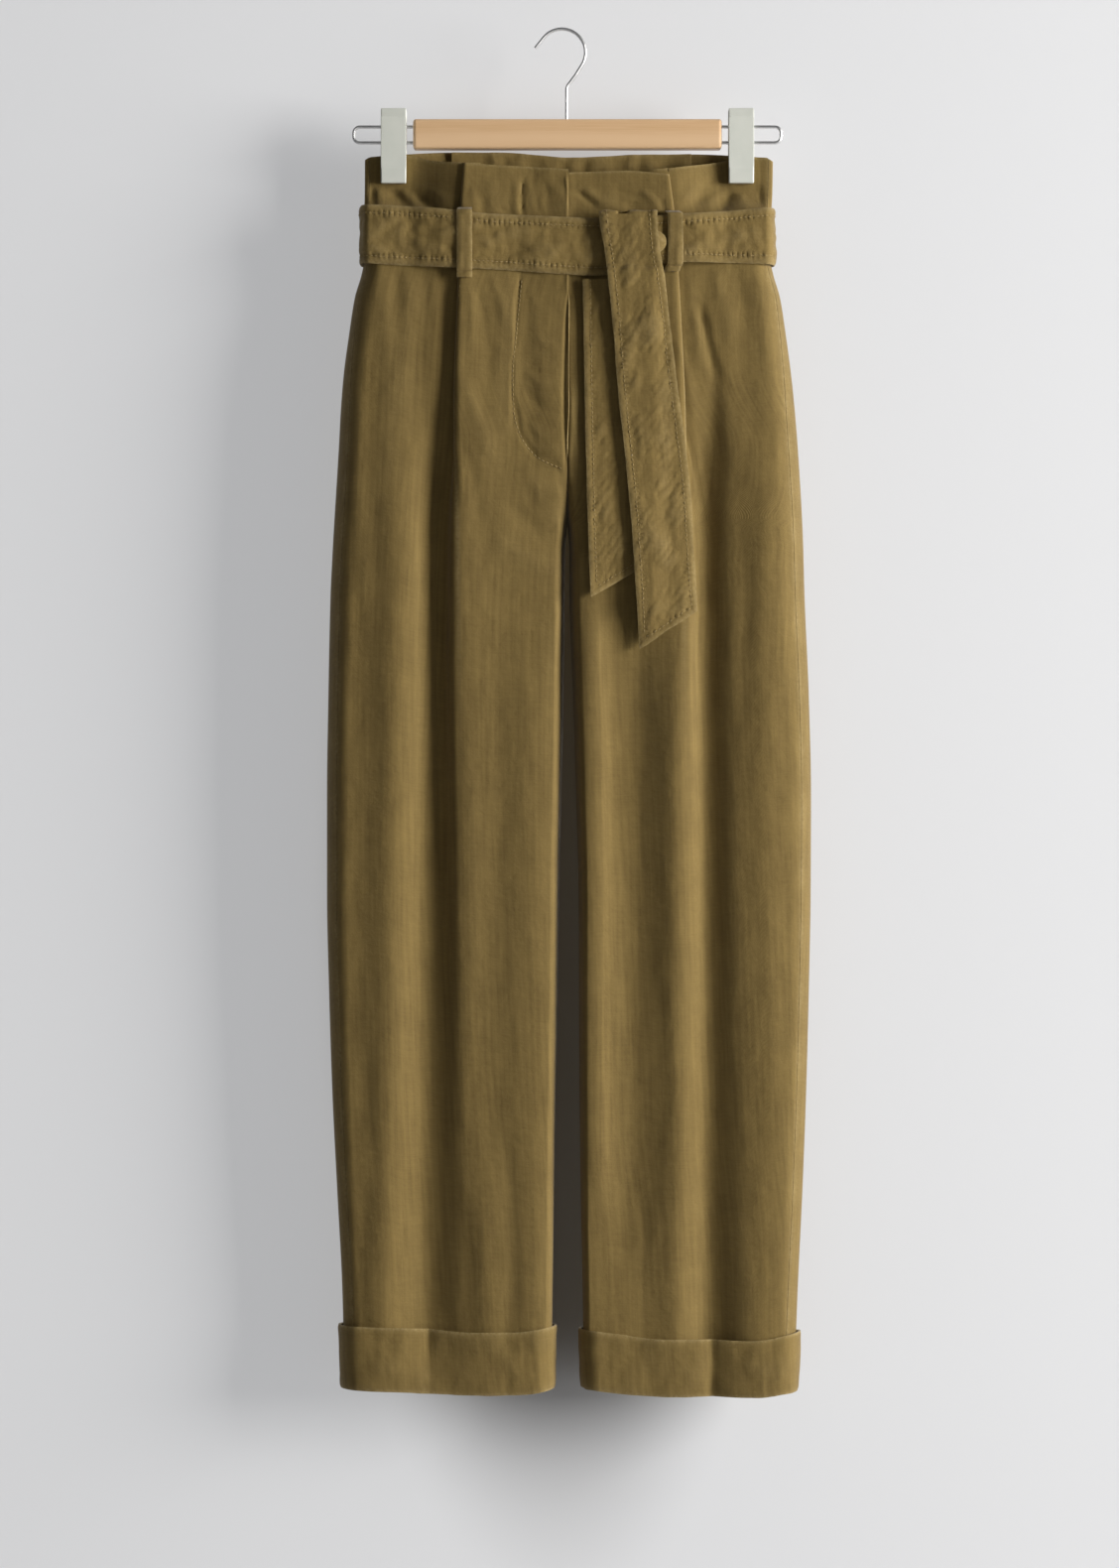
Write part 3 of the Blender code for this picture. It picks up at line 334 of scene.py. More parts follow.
def ripple(x, down, seed, scaleX, scaleDown, size):  # soft unevenness, the same on every run
    flat = np.empty(x.size)
    for k, (a, b) in enumerate(zip((x / scaleX).ravel(), (down / scaleDown).ravel())):
        flat[k] = noise.noise((a, b, seed))
    return size * flat.reshape(x.shape)


def waves(x, down, seed, layers):  # layers: step on from the seed, width, height and size of each
    return sum(ripple(x, down, seed + step, wide, tall, size) for step, wide, tall, size in layers)


def spaced(*stops):  # heights from (height, number of steps to the next) pairs
    found = []
    for (here, steps), (there, _) in zip(stops, stops[1:]):
        found += [here + (there - here) * k / steps for k in range(steps)]
    return found + [stops[-1][0]]


def place(x, depth, down):  # metres in the row frame
    return np.stack(((x + middleX) * mm, -depth * mm, -down * mm), axis=-1)


def gridNormals(points, closed=False):
    if closed:
        across = np.roll(points, -1, 1) - np.roll(points, 1, 1)
    else:
        across = np.gradient(points, axis=1)
    downward = np.gradient(points, axis=0)
    normal = np.cross(downward, across)
    return normal / np.maximum(np.linalg.norm(normal, axis=-1, keepdims=True), 1e-12)


def arcAlong(points, axis):
    steps = np.linalg.norm(np.diff(points, axis=axis), axis=-1)
    start = np.zeros_like(np.take(steps, [0], axis=axis))
    return np.cumsum(np.concatenate((start, steps), axis=axis), axis=axis)


def lengthsAlong(points):
    return np.concatenate(((0,), np.cumsum(np.linalg.norm(np.diff(points, axis=0), axis=1))))


def between(first, last, count):  # even places inside a span, its ends left out
    return np.linspace(first, last, count + 2)[1:-1]


def pushedOut(points, relief, least, closed=False):
    return points + gridNormals(points, closed) * (np.maximum(relief, least) * mm)[..., None]


grids = {}


def inScene(name, data):
    made = bpy.data.objects.new(name, data)
    bpy.context.scene.collection.objects.link(made)
    return made


def pickOut(piece):
    bpy.ops.object.select_all(action="DESELECT")
    bpy.context.view_layer.objects.active = piece
    piece.select_set(True)


def makeCloth(name, node, slotName, points, wall, wear, outward=False, closed=False):
    rows, columns = points.shape[:2]
    uAlong, vAlong = arcAlong(points, 1), arcAlong(points, 0)
    r, c = np.meshgrid(np.arange(rows - 1), np.arange(columns if closed else columns - 1), indexing="ij")
    d = (c + 1) % columns
    faces = np.stack((r * columns + c, (r + 1) * columns + c, (r + 1) * columns + d, r * columns + d), axis=-1)
    faces = faces.reshape(-1, 4)
    mesh = bpy.data.meshes.new(name)
    mesh.from_pydata(points.reshape(-1, 3).tolist(), [], faces.tolist())
    u, v = uAlong.ravel()[faces], -vAlong.ravel()[faces]
    if closed:
        last = c.ravel() == columns - 1
        ends = uAlong[:, -1] + np.linalg.norm(points[:, 0] - points[:, -1], axis=-1)
        u[last, 2] = ends[r.ravel()[last] + 1]
        u[last, 3] = ends[r.ravel()[last]]
    uvLayer = mesh.uv_layers.new(name="cloth")
    uvLayer.data.foreach_set("uv", np.stack((u, v), axis=-1).astype(np.float32).ravel())
    worn = mesh.attributes.new("wear", "FLOAT", "POINT")
    worn.data.foreach_set("value", np.clip(wear, 0, 1).astype(np.float32).ravel())
    piece = inScene(name, mesh)
    thickness = piece.modifiers.new("Cloth", "SOLIDIFY")
    thickness.thickness = wall * mm
    thickness.offset = 1 if outward else -1
    pickOut(piece)
    bpy.ops.object.modifier_apply(modifier="Cloth")
    bpy.ops.object.shade_smooth_by_angle(angle=math.radians(55))
    piece.data.materials.append(finishes[slotName])
    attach(piece, "root")
    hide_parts(node)
    grids[name] = points


panels = {
    "seeds": (("front", "right", 3.1), ("front", "left", 7.7), ("back", "right", 13.3), ("back", "left", 17.9)),
    "seam": 10, "side": 24, "pleat": 29, "centre": 38, "inner": 13,  # columns of the fronts
    "onFront": 5, "turn": 14, "back": 58,  # columns of the backs
    "flat": 0.98, "edge": 0.02,  # shares of the roll where a panel's flat and its inner edge begin
    "outseam": 4.0, "outseamMore": 5.0, "outseamFrom": 200.0, "outseamOver": 150.0, "wrap": 0.8,
    "pleatGap": 0.5, "pleatSpread": 2.0, "spreadGrows": 0.01,
    "crest": 0.72, "wornCrest": 0.6, "wornTop": 0.5, "wornEdge": {"front": 0.55, "back": 0.5}, "wornCrease": 0.05,
    "waves": ((0, 30.0, 130.0, 0.55), (9, 11.0, 30.0, 0.28)), "held": 0.85,
}


def seamReach(down):  # how far the backs come round the sides
    return panels["outseam"] + panels["outseamMore"] * float(
        ease((down - panels["outseamFrom"]) / panels["outseamOver"]))


def rollX(side, down, first, last, count):  # places round a rolled side, from one distance off its edge to another
    row = rowAt(down)
    turns = [math.acos(max(-1.0, 1 - distance / row["roll"])) for distance in (first, last)]
    return row[side + "Outer"] + inwards[side] * row["roll"] * (1 - np.cos(np.linspace(*turns, count)))


def pleatRow(side, down, count):  # a Z fold that opens out lower down
    row = rowAt(down)
    inward = inwards[side]
    fold, under = row[side + "Fold"], row["underlap"]
    low, high = (float(faceDepth(side, "front", np.array([fold + inward * s]), down)[0]) for s in (-4.0, 4.0))
    back = low + panels["pleatGap"]
    bend = (high - back) / 2
    corners = np.array((
        (-2.0, low), (under, low), (under + 0.35, low + 0.25), (under, back), (bend, back),
        (bend * 0.3, back + bend * 0.3), (0.0, back + bend), (bend * 0.3, high - bend * 0.3), (bend, high),
        (bend + 3.0, high)))
    lengths = np.concatenate(((0,), np.cumsum(np.array((6, 1, 1, 6, 3, 4, 4, 3, 2)))))
    shares = np.linspace(0, lengths[-1], count)
    folded = np.stack([np.interp(shares, lengths, corners[:, k]) for k in (0, 1)], axis=-1)
    released = float(ease((down - garment["releaseTop"]) / (garment["releaseEnd"] - garment["releaseTop"])))
    spread = (panels["pleatSpread"] + panels["spreadGrows"] * (down - garment["releaseTop"])) * 9 / (count - 1)
    openX = fold + inward * spread * (np.arange(count) - (count - 1) / 2)
    openDepth = faceDepth(side, "front", openX, down)
    x = fold + inward * folded[:, 0]
    return x + (openX - x) * released, folded[:, 1] + (openDepth - folded[:, 1]) * released


def innerEdge(side, face, inner, down):
    reach = inwards[side] * rowAt(down)["roll"] * garment["innerRoll"]
    x = inner - reach * (1 - np.cos(np.linspace(math.acos(panels["edge"]), 0.0, panels["inner"])))
    end = max(float(faceDepth(side, face, np.array([inner]), down)[0]), garment["seamGap"] / 2)
    return x, np.maximum(end, faceDepth(side, face, x, down))


def frontRow(side, down):
    row = rowAt(down)
    flatAt = row["roll"] * panels["flat"]
    rolled = rollX(side, down, seamReach(down) + garment["seamGap"] / 2, flatAt, panels["seam"])
    foldX, foldDepth = pleatRow(side, down, panels["pleat"])
    sideX = between(rolled[-1], foldX[0], panels["side"])
    centreX = between(foldX[-1], row[side + "Inner"] - inwards[side] * flatAt, panels["centre"])
    edgeX, edgeDepth = innerEdge(side, "front", row[side + "Inner"], down)
    plain = [faceDepth(side, "front", x, down) for x in (rolled, sideX, centreX)]
    x = np.concatenate((rolled, sideX, foldX, centreX, edgeX))
    return x, np.concatenate((plain[0], plain[1], foldDepth, plain[2], edgeDepth))


def backRow(side, down):
    row = rowAt(down)
    flatAt = row["roll"] * panels["flat"]
    onFront = rollX(side, down, seamReach(down) - garment["seamGap"] / 2, panels["wrap"], panels["onFront"])
    rolled = rollX(side, down, 0.0, flatAt, panels["turn"])
    inner = row[side + "Inner"] if down >= garment["crotch"] else -inwards[side] * garment["seamGap"] / 2
    flatX = between(rolled[-1], inner - inwards[side] * flatAt, panels["back"])
    edgeX, edgeDepth = innerEdge(side, "back", inner, down)
    x = np.concatenate((onFront, rolled, flatX, edgeX))
    return x, np.concatenate((
        -faceDepth(side, "front", onFront, down), faceDepth(side, "back", rolled, down),
        faceDepth(side, "back", flatX, down), edgeDepth))


panelHeights = spaced((100, 42), (165, 60), (300, 58), (480, 96), (1060, 26), (garment["hem"], 0))


def raised(x, down, edge):  # above the belt the rows follow the top edge
    level, first = garment["beltLevel"], garment["topRow"]
    if down >= level:
        return np.full_like(x, down)
    top = curveThrough(edge, x)
    return top + (level - top) * (down - first) / (level - first)


def panelRelief(face, side, seed, x, down, height):  # creases and soft waves, calm at sides, jaws and inner edges
    crease = creaseRelief(face, x, down)
    soft = waves(x, height, seed, panels["waves"])
    row = rowAt(down)
    fade = rounded(np.abs(x - row[side + "Outer"]), 0.9 * row["roll"])
    if face == "back":
        fade[:panels["onFront"] + 1] = 0
    held = 1 - panels["held"] * pinch(x, down) * float(ease((clips["bottom"] + 6 - down) / 12))
    relief = (crease + soft) * fade * held
    if down > garment["crotch"] - 30:
        relief = relief * rounded(np.abs(x - row[side + "Inner"]), 8.0)
    elif face == "back":
        relief = relief * rounded(np.abs(x), 5.0)
    return crease, relief


def edgeWear(count, height, strength):  # rubbed at both ends of a row, in short lengths
    k = np.arange(count)
    ends = strength * np.maximum(np.exp(-k / 1.2), np.exp(-(count - 1 - k) / 1.2))
    return ends * (0.5 + 0.5 * np.sin(height * 1.1) ** 2)


def makePanels():
    sideCount = panels["seam"] + panels["side"]
    crestAt = sideCount + int(panels["pleat"] * panels["crest"])
    for face, side, seed in panels["seeds"]:
        rows, wear = [], []
        for down in panelHeights:
            rubbed = panels["wornTop"] * float(1 - ease((down - garment["topRow"]) / 4))
            if face == "front":
                x, depth = frontRow(side, down)
                k = np.arange(len(x))
                height = np.where(
                    k < sideCount + panels["pleat"] // 2,
                    raised(x, down, topEdges[side]), raised(x, down, topEdges[side + "Centre"]))
                crest = panels["wornCrest"] * np.exp(-((k - crestAt) / 1.6) ** 2)
                rubbed = np.maximum(crest * float(1 - ease((down - 330) / 300)), rubbed)
            else:
                x, depth = backRow(side, down)
                height = raised(x, down, topEdges["back"])
            crease, relief = panelRelief(face, side, seed, x, down, height)
            rows.append(place(x, (depth + relief) * (1 if face == "front" else -1), height))
            ends = edgeWear(len(x), height, panels["wornEdge"][face])
            wear.append(np.maximum(ends, rubbed) + panels["wornCrease"] * crease)
        points, wear = np.array(rows), np.array(wear)
        if (face == "front") == (side == "left"):
            points, wear = points[:, ::-1], wear[:, ::-1]
        makeCloth(side + face.capitalize(), side + "_" + face, "twill", points, garment["clothWall"], wear)


facing = {
    "first": -98.0, "last": 105.0, "low": 152.0, "wall": 1.0, "rows": 24, "columns": 150, "stitchBelow": 5.0,
    "inset": 1.4, "drop": 0.3, "pucker": 0.8, "push": 0.7,
}


def makeFacing():
    inset = garment["clothWall"] + facing["inset"]
    x = np.linspace(facing["last"], facing["first"], facing["columns"])
    top = curveThrough(topEdges["back"], x) + facing["drop"]
    rows, wear = [], []
    for r in range(facing["rows"]):
        share = r / (facing["rows"] - 1)
        height = top + (facing["low"] - top) * share
        middle = float(np.mean(height))
        depth = np.min([
            np.where(x + near < 0, faceDepth("right", "back", x + near, middle),
                     faceDepth("left", "back", x + near, middle)) for near in (-8, 0, 8)], axis=0)
        gathered = facing["pucker"] * np.sin(x / 3.6 + 0.8 * np.sin(x / 9.0)) * float(ease(share * 6))
        pucker = gathered + ripple(x, height, 5.5, 9.0, 22.0, 0.9)
        rows.append(place(x, -(depth - inset - 0.5 - facing["push"] * pucker - facing["push"]), height))
        wear.append(np.full_like(x, 0.6 * float(1 - ease(r / 1.5))) + 0.12 * pucker)
    makeCloth("backFacing", "back_waist_facing", "twill", np.array(rows), facing["wall"], np.array(wear))


belt = {
    "base": 182.0, "clear": 1.5, "bulge": 4.0, "start": 50.0, "end": 46.0, "backSag": 5.0, "rows": 44,
    "thick": 2.6, "stitchInside": 5.6, "stitchEvery": 4.4, "behindTop": 151.0, "behindLow": 198.0, "halfWidth": 175.0,
    "waves": ((21.7, 24.0, 18.0, 1.9), (4.2, 9.0, 8.0, 1.0)),
    "top": ((-175, 150.6), (-119, 153.7), (-65, 159.4), (-35, 160.6), (24, 162.8), (96, 159.6), (175, 153.0)),
    "low": ((-175, 197.4), (-119, 200.8), (-44, 204.6), (24, 208.8), (96, 197.2), (175, 198.4)),
}


def beltDepth(x, down, extra):
    x = np.asarray(x, float)
    row = rowAt(down)
    bridged = np.zeros_like(x)
    for k in range(-20, 21):  # pulled tight, it spans from crest to crest
        bridged = np.maximum(bridged, frontDepth(x + 3.0 * k, down) - 0.0035 * (3.0 * k) ** 2)
    outer = np.where(x < 0, -row["rightOuter"], row["leftOuter"]) + extra
    full = row["front"] + row["step"] + extra
    return np.minimum(bridged + extra, full * rounded(outer - np.abs(x), row["roll"]))


beltKnownX = np.arange(-174.0, 174.5, 1.0)
beltKnown = beltDepth(beltKnownX, belt["base"], belt["clear"])
beltClear = np.max([beltDepth(beltKnownX, down, 0.0) for down in (152, 166, 182, 196, 208)], axis=0)
beltKnown = np.maximum(beltKnown, np.minimum(beltClear + garment["layGap"], beltKnown + belt["bulge"]))
for _ in range(24):  # soften its bends
    beltKnown[8:-8] = (beltKnown[7:-9] + 2 * beltKnown[8:-8] + beltKnown[9:-7]) / 4


def beltInside(x):  # its inner face, clear of the fronts over its whole height
    row = rowAt(belt["base"])
    outer = np.where(x < 0, -row["rightOuter"], row["leftOuter"]) + belt["clear"]
    full = row["front"] + row["step"] + belt["clear"]
    return np.minimum(np.interp(x, beltKnownX, beltKnown), full * rounded(outer - np.abs(x), row["roll"] * 0.6))


def beltOutside(x):
    return beltInside(np.asarray(x, float)) + belt["thick"]


def beltRing():
    row = rowAt(belt["base"])
    reach = row["roll"]
    left = row["leftOuter"] + belt["clear"]
    right = row["rightOuter"] - belt["clear"]
    turns = np.linspace(0, math.pi / 2, 18)
    leftRoll = left - reach * (1 - np.sin(turns))
    rightRoll = right + reach * (1 - np.cos(turns))
    frontLeft = np.concatenate((np.linspace(belt["start"], leftRoll[0], 130)[:-1], leftRoll[:-1]))
    backX = np.concatenate((leftRoll[::-1], np.linspace(leftRoll[0], rightRoll[-1], 270)[1:-1], rightRoll[::-1]))
    frontRight = np.concatenate((rightRoll, np.linspace(rightRoll[-1], belt["end"], 240)[1:]))
    full = row["back"] + belt["clear"]
    backDepth = -full * rounded(np.minimum(left - backX, backX - right), reach)
    x = np.concatenate((frontLeft, backX[:-1], frontRight))
    depth = np.concatenate((beltInside(frontLeft), backDepth[:-1], beltInside(frontRight)))
    return x, depth


def beltEdge(x, depth, name):
    sag = belt["backSag"] * (1 - (x / belt["halfWidth"]) ** 2)
    behind = belt["behindTop" if name == "top" else "behindLow"] + sag
    blend = ease((depth + 6.0) / 12.0)
    return behind + (curveThrough(belt[name], x) - behind) * blend


def stitchedRelief(run, fromEdge, seed):  # puckers each side of a row of topstitching
    near = np.exp(-((fromEdge - belt["stitchInside"]) / 1.9) ** 2)
    beat = np.sin(2 * math.pi * run / belt["stitchEvery"] + 1.3 * np.sin(run / 17.0 + seed))
    pull = 0.45 + 0.55 * np.abs(np.sin(run / 31.0 + seed))
    dimple = np.clip(0.5 + 0.5 * beat, 0, 1) ** 1.6
    return near * (0.1 - 1.15 * dimple * pull) + 0.25 * np.exp(-((fromEdge - 2.4) / 1.8) ** 2)


def makeBelt():
    x, depth = beltRing()
    run = lengthsAlong(np.stack((x, depth), axis=-1))
    top, low = beltEdge(x, depth, "top"), beltEdge(x, depth, "low")
    rows, relief = [], []
    even = np.linspace(0, 1, belt["rows"])
    shares = (1 - np.cos(np.linspace(0.0, math.pi, belt["rows"]))) / 2 * 0.25 + even * 0.75
    for share in shares:
        height = top + (low - top) * share
        fromEdge = np.minimum(share, 1 - share) * (low - top)
        soft = waves(run, height, 0, belt["waves"])
        drag = 0.9 * np.sin((run + 1.9 * height) / 21.0) * ripple(run, height, 2.9, 60.0, 40.0, 1.0)
        calm = ease(fromEdge / 9.0 + 0.15)
        turned = -0.9 * np.exp(-fromEdge / 0.9)
        relief.append((soft + drag) * calm + stitchedRelief(run, fromEdge, share > 0.5) + turned)
        rows.append(place(x, depth, height))
    relief = np.array(relief)
    points = pushedOut(np.array(rows), relief, -0.9)
    k = np.minimum(shares, 1 - shares)[:, None] * np.ones_like(relief)
    wear = 0.75 * np.exp(-k / 0.035) + 0.16 * relief
    makeCloth("beltWrap", "belt_wrap", "sash", points, garment["sashWall"], wear, outward=True)


loops = {
    "half": 6.0, "wall": 1.4, "rise": 3.8, "clear": 0.3, "rows": 44, "columns": 13,
    "profile": ((0.0, 0.0), (1.4, 0.6), (2.6, 1.0), (0.0, 1.08), (-1.6, 1.0), (-4.0, 0.35), (-9.0, 0.0)),
    "front": (("frontLoopRight", "front_loop_right", -86.6, 0.0), ("frontLoopLeft", "front_loop_left", 87.8, 3.2)),
    "back": (("backLoopRight", "back_loop_right", -78.0, 0.0), ("backLoopLeft", "back_loop_left", 78.0, 0.0)),
}


def makeLoop(name, node, middle, bow, top, low, surface, out, sign):
    stops = np.linspace(0, 1, len(loops["profile"]))
    heights = [(top + low) / 2 if k == 3 else (top + along if k < 3 else low - along)
               for k, (along, _) in enumerate(loops["profile"])]
    shares = [share for _, share in loops["profile"]]
    t = np.linspace(0, 1, loops["rows"])
    height = curveThrough(list(zip(stops, heights)), t)
    share = curveThrough(list(zip(stops, shares)), t)
    across = np.linspace(-1, 1, loops["columns"])[::sign]
    edge = np.exp(-(1 - np.abs(across)) / 0.16)
    rows, wear = [], []
    for k in range(len(t)):
        x = middle + bow * math.sin(math.pi * t[k]) + across * loops["half"]
        level = np.full_like(x, height[k])
        skin = surface(x, height[k]) + garment["layGap"]
        relief = 0.35 * (1 - across ** 2) - 0.45 * edge + ripple(x, level, middle, 5.0, 9.0, 0.5)
        rows.append(place(x, sign * (skin + (out - skin) * share[k] + relief + 0.25), level))
        wear.append(0.7 * edge + 0.1)
    makeCloth(name, node, "twill", np.array(rows), loops["wall"], np.array(wear), outward=True)


mapDowns = np.arange(140.0, 536.0, 2.0)
mapX = np.arange(-210.0, 214.0, 1.0)
frontMap = np.array([frontDepth(mapX, down) for down in mapDowns])


def frontAt(x, down):
    c = np.clip((x - mapX[0]), 0, len(mapX) - 1.001)
    r = np.clip((down - mapDowns[0]) / 2.0, 0, len(mapDowns) - 1.001)
    i, j = r.astype(int), c.astype(int)
    p, q = r - i, c - j
    top = frontMap[i, j] * (1 - q) + frontMap[i, j + 1] * q
    low = frontMap[i + 1, j] * (1 - q) + frontMap[i + 1, j + 1] * q
    return top * (1 - p) + low * p


def bridgedFront(x, down, reach, sharpness):
    x = np.asarray(x, float)
    down = np.zeros_like(x) + down
    best = np.zeros_like(x)
    for k in range(-6, 7):
        best = np.maximum(best, frontAt(x + reach * k / 6, down) - sharpness * (reach * k / 6) ** 2)
    return best


def makeLoops():
    for name, node, middle, bow in loops["front"]:
        over = float(np.max(beltOutside(middle + loops["half"] * np.array([-1.0, 0.0, 1.0]))))
        out = over + garment["layGap"] + loops["clear"]
        top = float(curveThrough(belt["top"], middle)) - loops["rise"]
        low = float(curveThrough(belt["low"], middle))
        makeLoop(name, node, middle, bow, top, low, lambda x, down: bridgedFront(x, down, 5.0, 0.0), out, 1)
    for name, node, middle, bow in loops["back"]:
        side = "right" if middle < 0 else "left"
        out = rowAt(belt["base"])["back"] + belt["clear"] + belt["thick"] + garment["layGap"] + loops["clear"]
        top = float(beltEdge(np.array([middle]), -9.0, "top")[0]) - loops["rise"]
        low = float(beltEdge(np.array([middle]), -9.0, "low")[0])
        makeLoop(
            name, node, middle, bow, top, low, lambda x, down, s=side: faceDepth(s, "back", x, down), out, -1)


knot = {"height": 5.4, "ends": (33.0, 83.4), "half": 10.5, "rows": 26, "columns": 44, "wall": 0.9, "clear": 0.6}


def makeKnot():
    first, last = knot["ends"]
    u = -np.cos(math.pi * np.arange(knot["columns"] + 1) / knot["columns"])
    x = (first + last) / 2 + u * (last - first) / 2
    rows, wear = [], []
    for r in range(knot["rows"] + 1):
        v = math.cos(math.pi * r / knot["rows"])
        down = belt["base"] - v * knot["half"] * np.sqrt(np.maximum(0.08, 1 - np.abs(u) ** 4))
        swell = np.sqrt(np.maximum(0.0, 1 - np.abs(u) ** 3)) * math.sqrt(max(0.0, 1 - v * v))
        creased = 0.5 * np.sin(u * 9 + v * 5) * swell
        depth = beltOutside(x) + garment["layGap"] + knot["clear"] + (knot["height"] - 1.5) * swell + creased
        rows.append(place(x, depth, down))
        wear.append(0.35 + 0.3 * creased)
    makeCloth("beltKnot", "belt_knot", "sash", np.array(rows), knot["wall"], np.array(wear))


tails = {
    "columns": 38,
    "turned": 4.4,  # the longer edges, which run to the tips, stand this far off there
    "front": (
        (153, 27.0, 74.6), (167, 28.1, 75.0), (188, 31.6, 77.0), (210, 34.4, 80.4), (251, 39.0, 85.7),
        (302, 43.6, 91.6), (344, 48.8, 97.2), (386, 53.4, 101.8), (444, 57.9, 105.2), (492, 61.0, 108.2)),
    "frontTip": 524.0,
    "rear": ((213, 13.6, 58.0), (310, 15.2, 60.0), (369, 16.8, 62.0), (453, 19.8, 65.6)),
    "rearTip": 480.5,
    "beltLow": 214.0, "settle": 42.0,  # below the belt they come back to the fronts over this length
    "span": 24.0, "tautness": 0.012, "rearOut": 2.4, "frontOut": 8.2, "overRear": 3.45, "fallBack": 0.9,
    "turn": ((1.9, 7.4), (2.6, 6.2), (3.0, 5.0), (3.2, 3.6), (3.0, 2.2), (2.2, 1.0), (0.9, 0.3)),
    "softRows": 110,
}


def overBelt(down):
    return np.exp(-np.maximum(0.0, down - tails["beltLow"]) / tails["settle"])


def tailSkin(x, down):
    return bridgedFront(x, down, tails["span"], tails["tautness"]) + garment["layGap"]


def rearTailDepth(x, down):
    return tailSkin(x, down) + tails["rearOut"] * overBelt(down)


def frontTailDepth(x, down):
    rear = (1 - ease((x - 70.0) / 16.0)) * (1 - ease((down - 482.0) / 40.0))
    free = tailSkin(x, down) + tails["overRear"] * rear + tails["frontOut"] * overBelt(down)
    falling = tails["fallBack"] * np.maximum(0, down - tails["beltLow"])
    wrapped = beltOutside(x) + knot["height"] + garment["layGap"] - falling
    free = np.where(down > 205, free, 0.0)
    return np.where(down < 222, np.maximum(wrapped, free), free)


def tailGrid(edges, tip, heights, depthAt, seed):
    last = edges[-1]
    share = np.linspace(0, 1, tails["columns"])
    rows, relief, wear = [], [], []
    for down in heights:
        left, right = (float(curveThrough([(row[0], row[k]) for row in edges], down)) for k in (1, 2))
        x = left + (right - left) * share
        grown = float(ease((down - edges[0][0]) / (last[0] - edges[0][0])))
        height = down + (tip - last[0]) * (1 - share) * grown
        depth = depthAt(x, height) + tails["turned"] * (1 - share) * grown
        toTip = (last[0] - down) * 0.86
        fromSide = np.minimum(share, 1 - share) * (right - left)
        fromEdge = np.minimum(fromSide, toTip) if last[0] - down < 60 else fromSide
        slanted = ripple(x + 0.6 * height, height - 0.4 * x, seed + 3, 5.0, 12.0, 0.6)
        soft = ripple(x, height, seed, 15.0, 30.0, 1.7) + slanted
        gathers = np.clip(ripple(x, height, seed + 7, 16.0, 26.0, 1.6), -1, 1)
        sideways = 0.22 * np.sin((height + 0.9 * x) / 4.6) * gathers
        calm = ease(fromEdge / 8.0 + 0.15)
        run = np.where(fromSide <= toTip, height, x)
        turned = 0.7 * np.exp(-fromEdge / 0.8)
        relief.append((soft + sideways) * calm + stitchedRelief(run, fromEdge, seed) - turned)
        wear.append(0.8 * np.exp(-fromEdge / 1.4) + 0.16 * relief[-1])
        rows.append(place(x, depth, height))
    return np.array(rows), np.array(relief), np.array(wear)


def makeTails():
    heights = spaced((213.4, 270), (453, 0))
    points, relief, wear = tailGrid(tails["rear"], tails["rearTip"], heights, rearTailDepth, 31.0)
    points = pushedOut(points, relief, -0.4)
    makeCloth("beltTailRear", "belt_tail_rear", "sash", points, garment["sashWall"], wear, outward=True)
    heights = spaced((156, 60), (214, 28), (240, 280), (492, 0))
    points, relief, wear = tailGrid(tails["front"], tails["frontTip"], heights, frontTailDepth, 37.0)
    _, left, right = tails["front"][0]
    x = left + (right - left) * np.linspace(0, 1, tails["columns"])
    edge = curveThrough(belt["top"], x)
    outer = beltOutside(x) + knot["height"] + garment["layGap"]
    over = [place(x, outer - inside, edge - rise) for rise, inside in tails["turn"]]
    points = np.concatenate((np.array(over), points))
    relief = np.concatenate((np.repeat(relief[:1] * 0.3, len(over), 0), relief))
    wear = np.concatenate((np.repeat(wear[:1] + 0.25, len(over), 0), wear))
    smooth = points.copy()
    for _ in range(8):  # soften the turn over the belt and the way down off the knot
        smooth[1:-1] = (smooth[:-2] + 2 * smooth[1:-1] + smooth[2:]) / 4
    points = np.where(np.arange(len(points))[:, None, None] < tails["softRows"], smooth, points)
    points = pushedOut(points, relief, -0.3)
    makeCloth("beltTailFront", "belt_tail_front", "sash", points, garment["sashWall"], wear, outward=True)


cuffs = {
    "wall": 1.9, "rows": 22, "columns": 84, "first": 1096.0, "out": 1.0,
    "waves": ((0, 22.0, 26.0, 1.1), (5, 8.0, 14.0, 0.45)),
    "rightTop": ((-191, 1094.6), (-144, 1096.0), (-110, 1098.0), (-80, 1100.0), (-45, 1099.6), (-11, 1095.0)),
    "leftTop": ((11, 1097.6), (40, 1101.0), (75, 1105.4), (124, 1106.2), (155, 1107.0), (195, 1100.0)),
    "rightLow": ((-191, 1147.4), (-144, 1149.6), (-80, 1152.6), (-34, 1151.6), (-11, 1147.0)),
    "leftLow": ((11, 1146.6), (40, 1150.6), (82, 1153.6), (158, 1154.0), (195, 1149.6)),
}


def cuffRing(side, down):
    row = rowAt(down)
    outer = row[side + "Outer"] - inwards[side] * cuffs["out"]
    inner = row[side + "Inner"] + inwards[side] * cuffs["out"]
    count = cuffs["columns"]
    xs, depths = [], []
    for face, sign in (("front", 1), ("back", -1)):
        x = outer + (inner - outer) * (1 - np.cos(math.pi * np.arange(count + 1) / count)) / 2
        if (sign == 1) != (side == "right"):
            x = x[::-1]
        x = x[:-1]
        edge = np.minimum(np.abs(x - outer), np.abs(x - inner))
        nearby = [fullDepth(side, face, x + near, down) - 0.006 * near * near for near in range(-15, 16, 3)]
        xs.append(x)
        depths.append(sign * (np.max(nearby, axis=0) + cuffs["out"]) * rounded(edge, row["roll"]))
    return np.concatenate(xs), np.concatenate(depths)


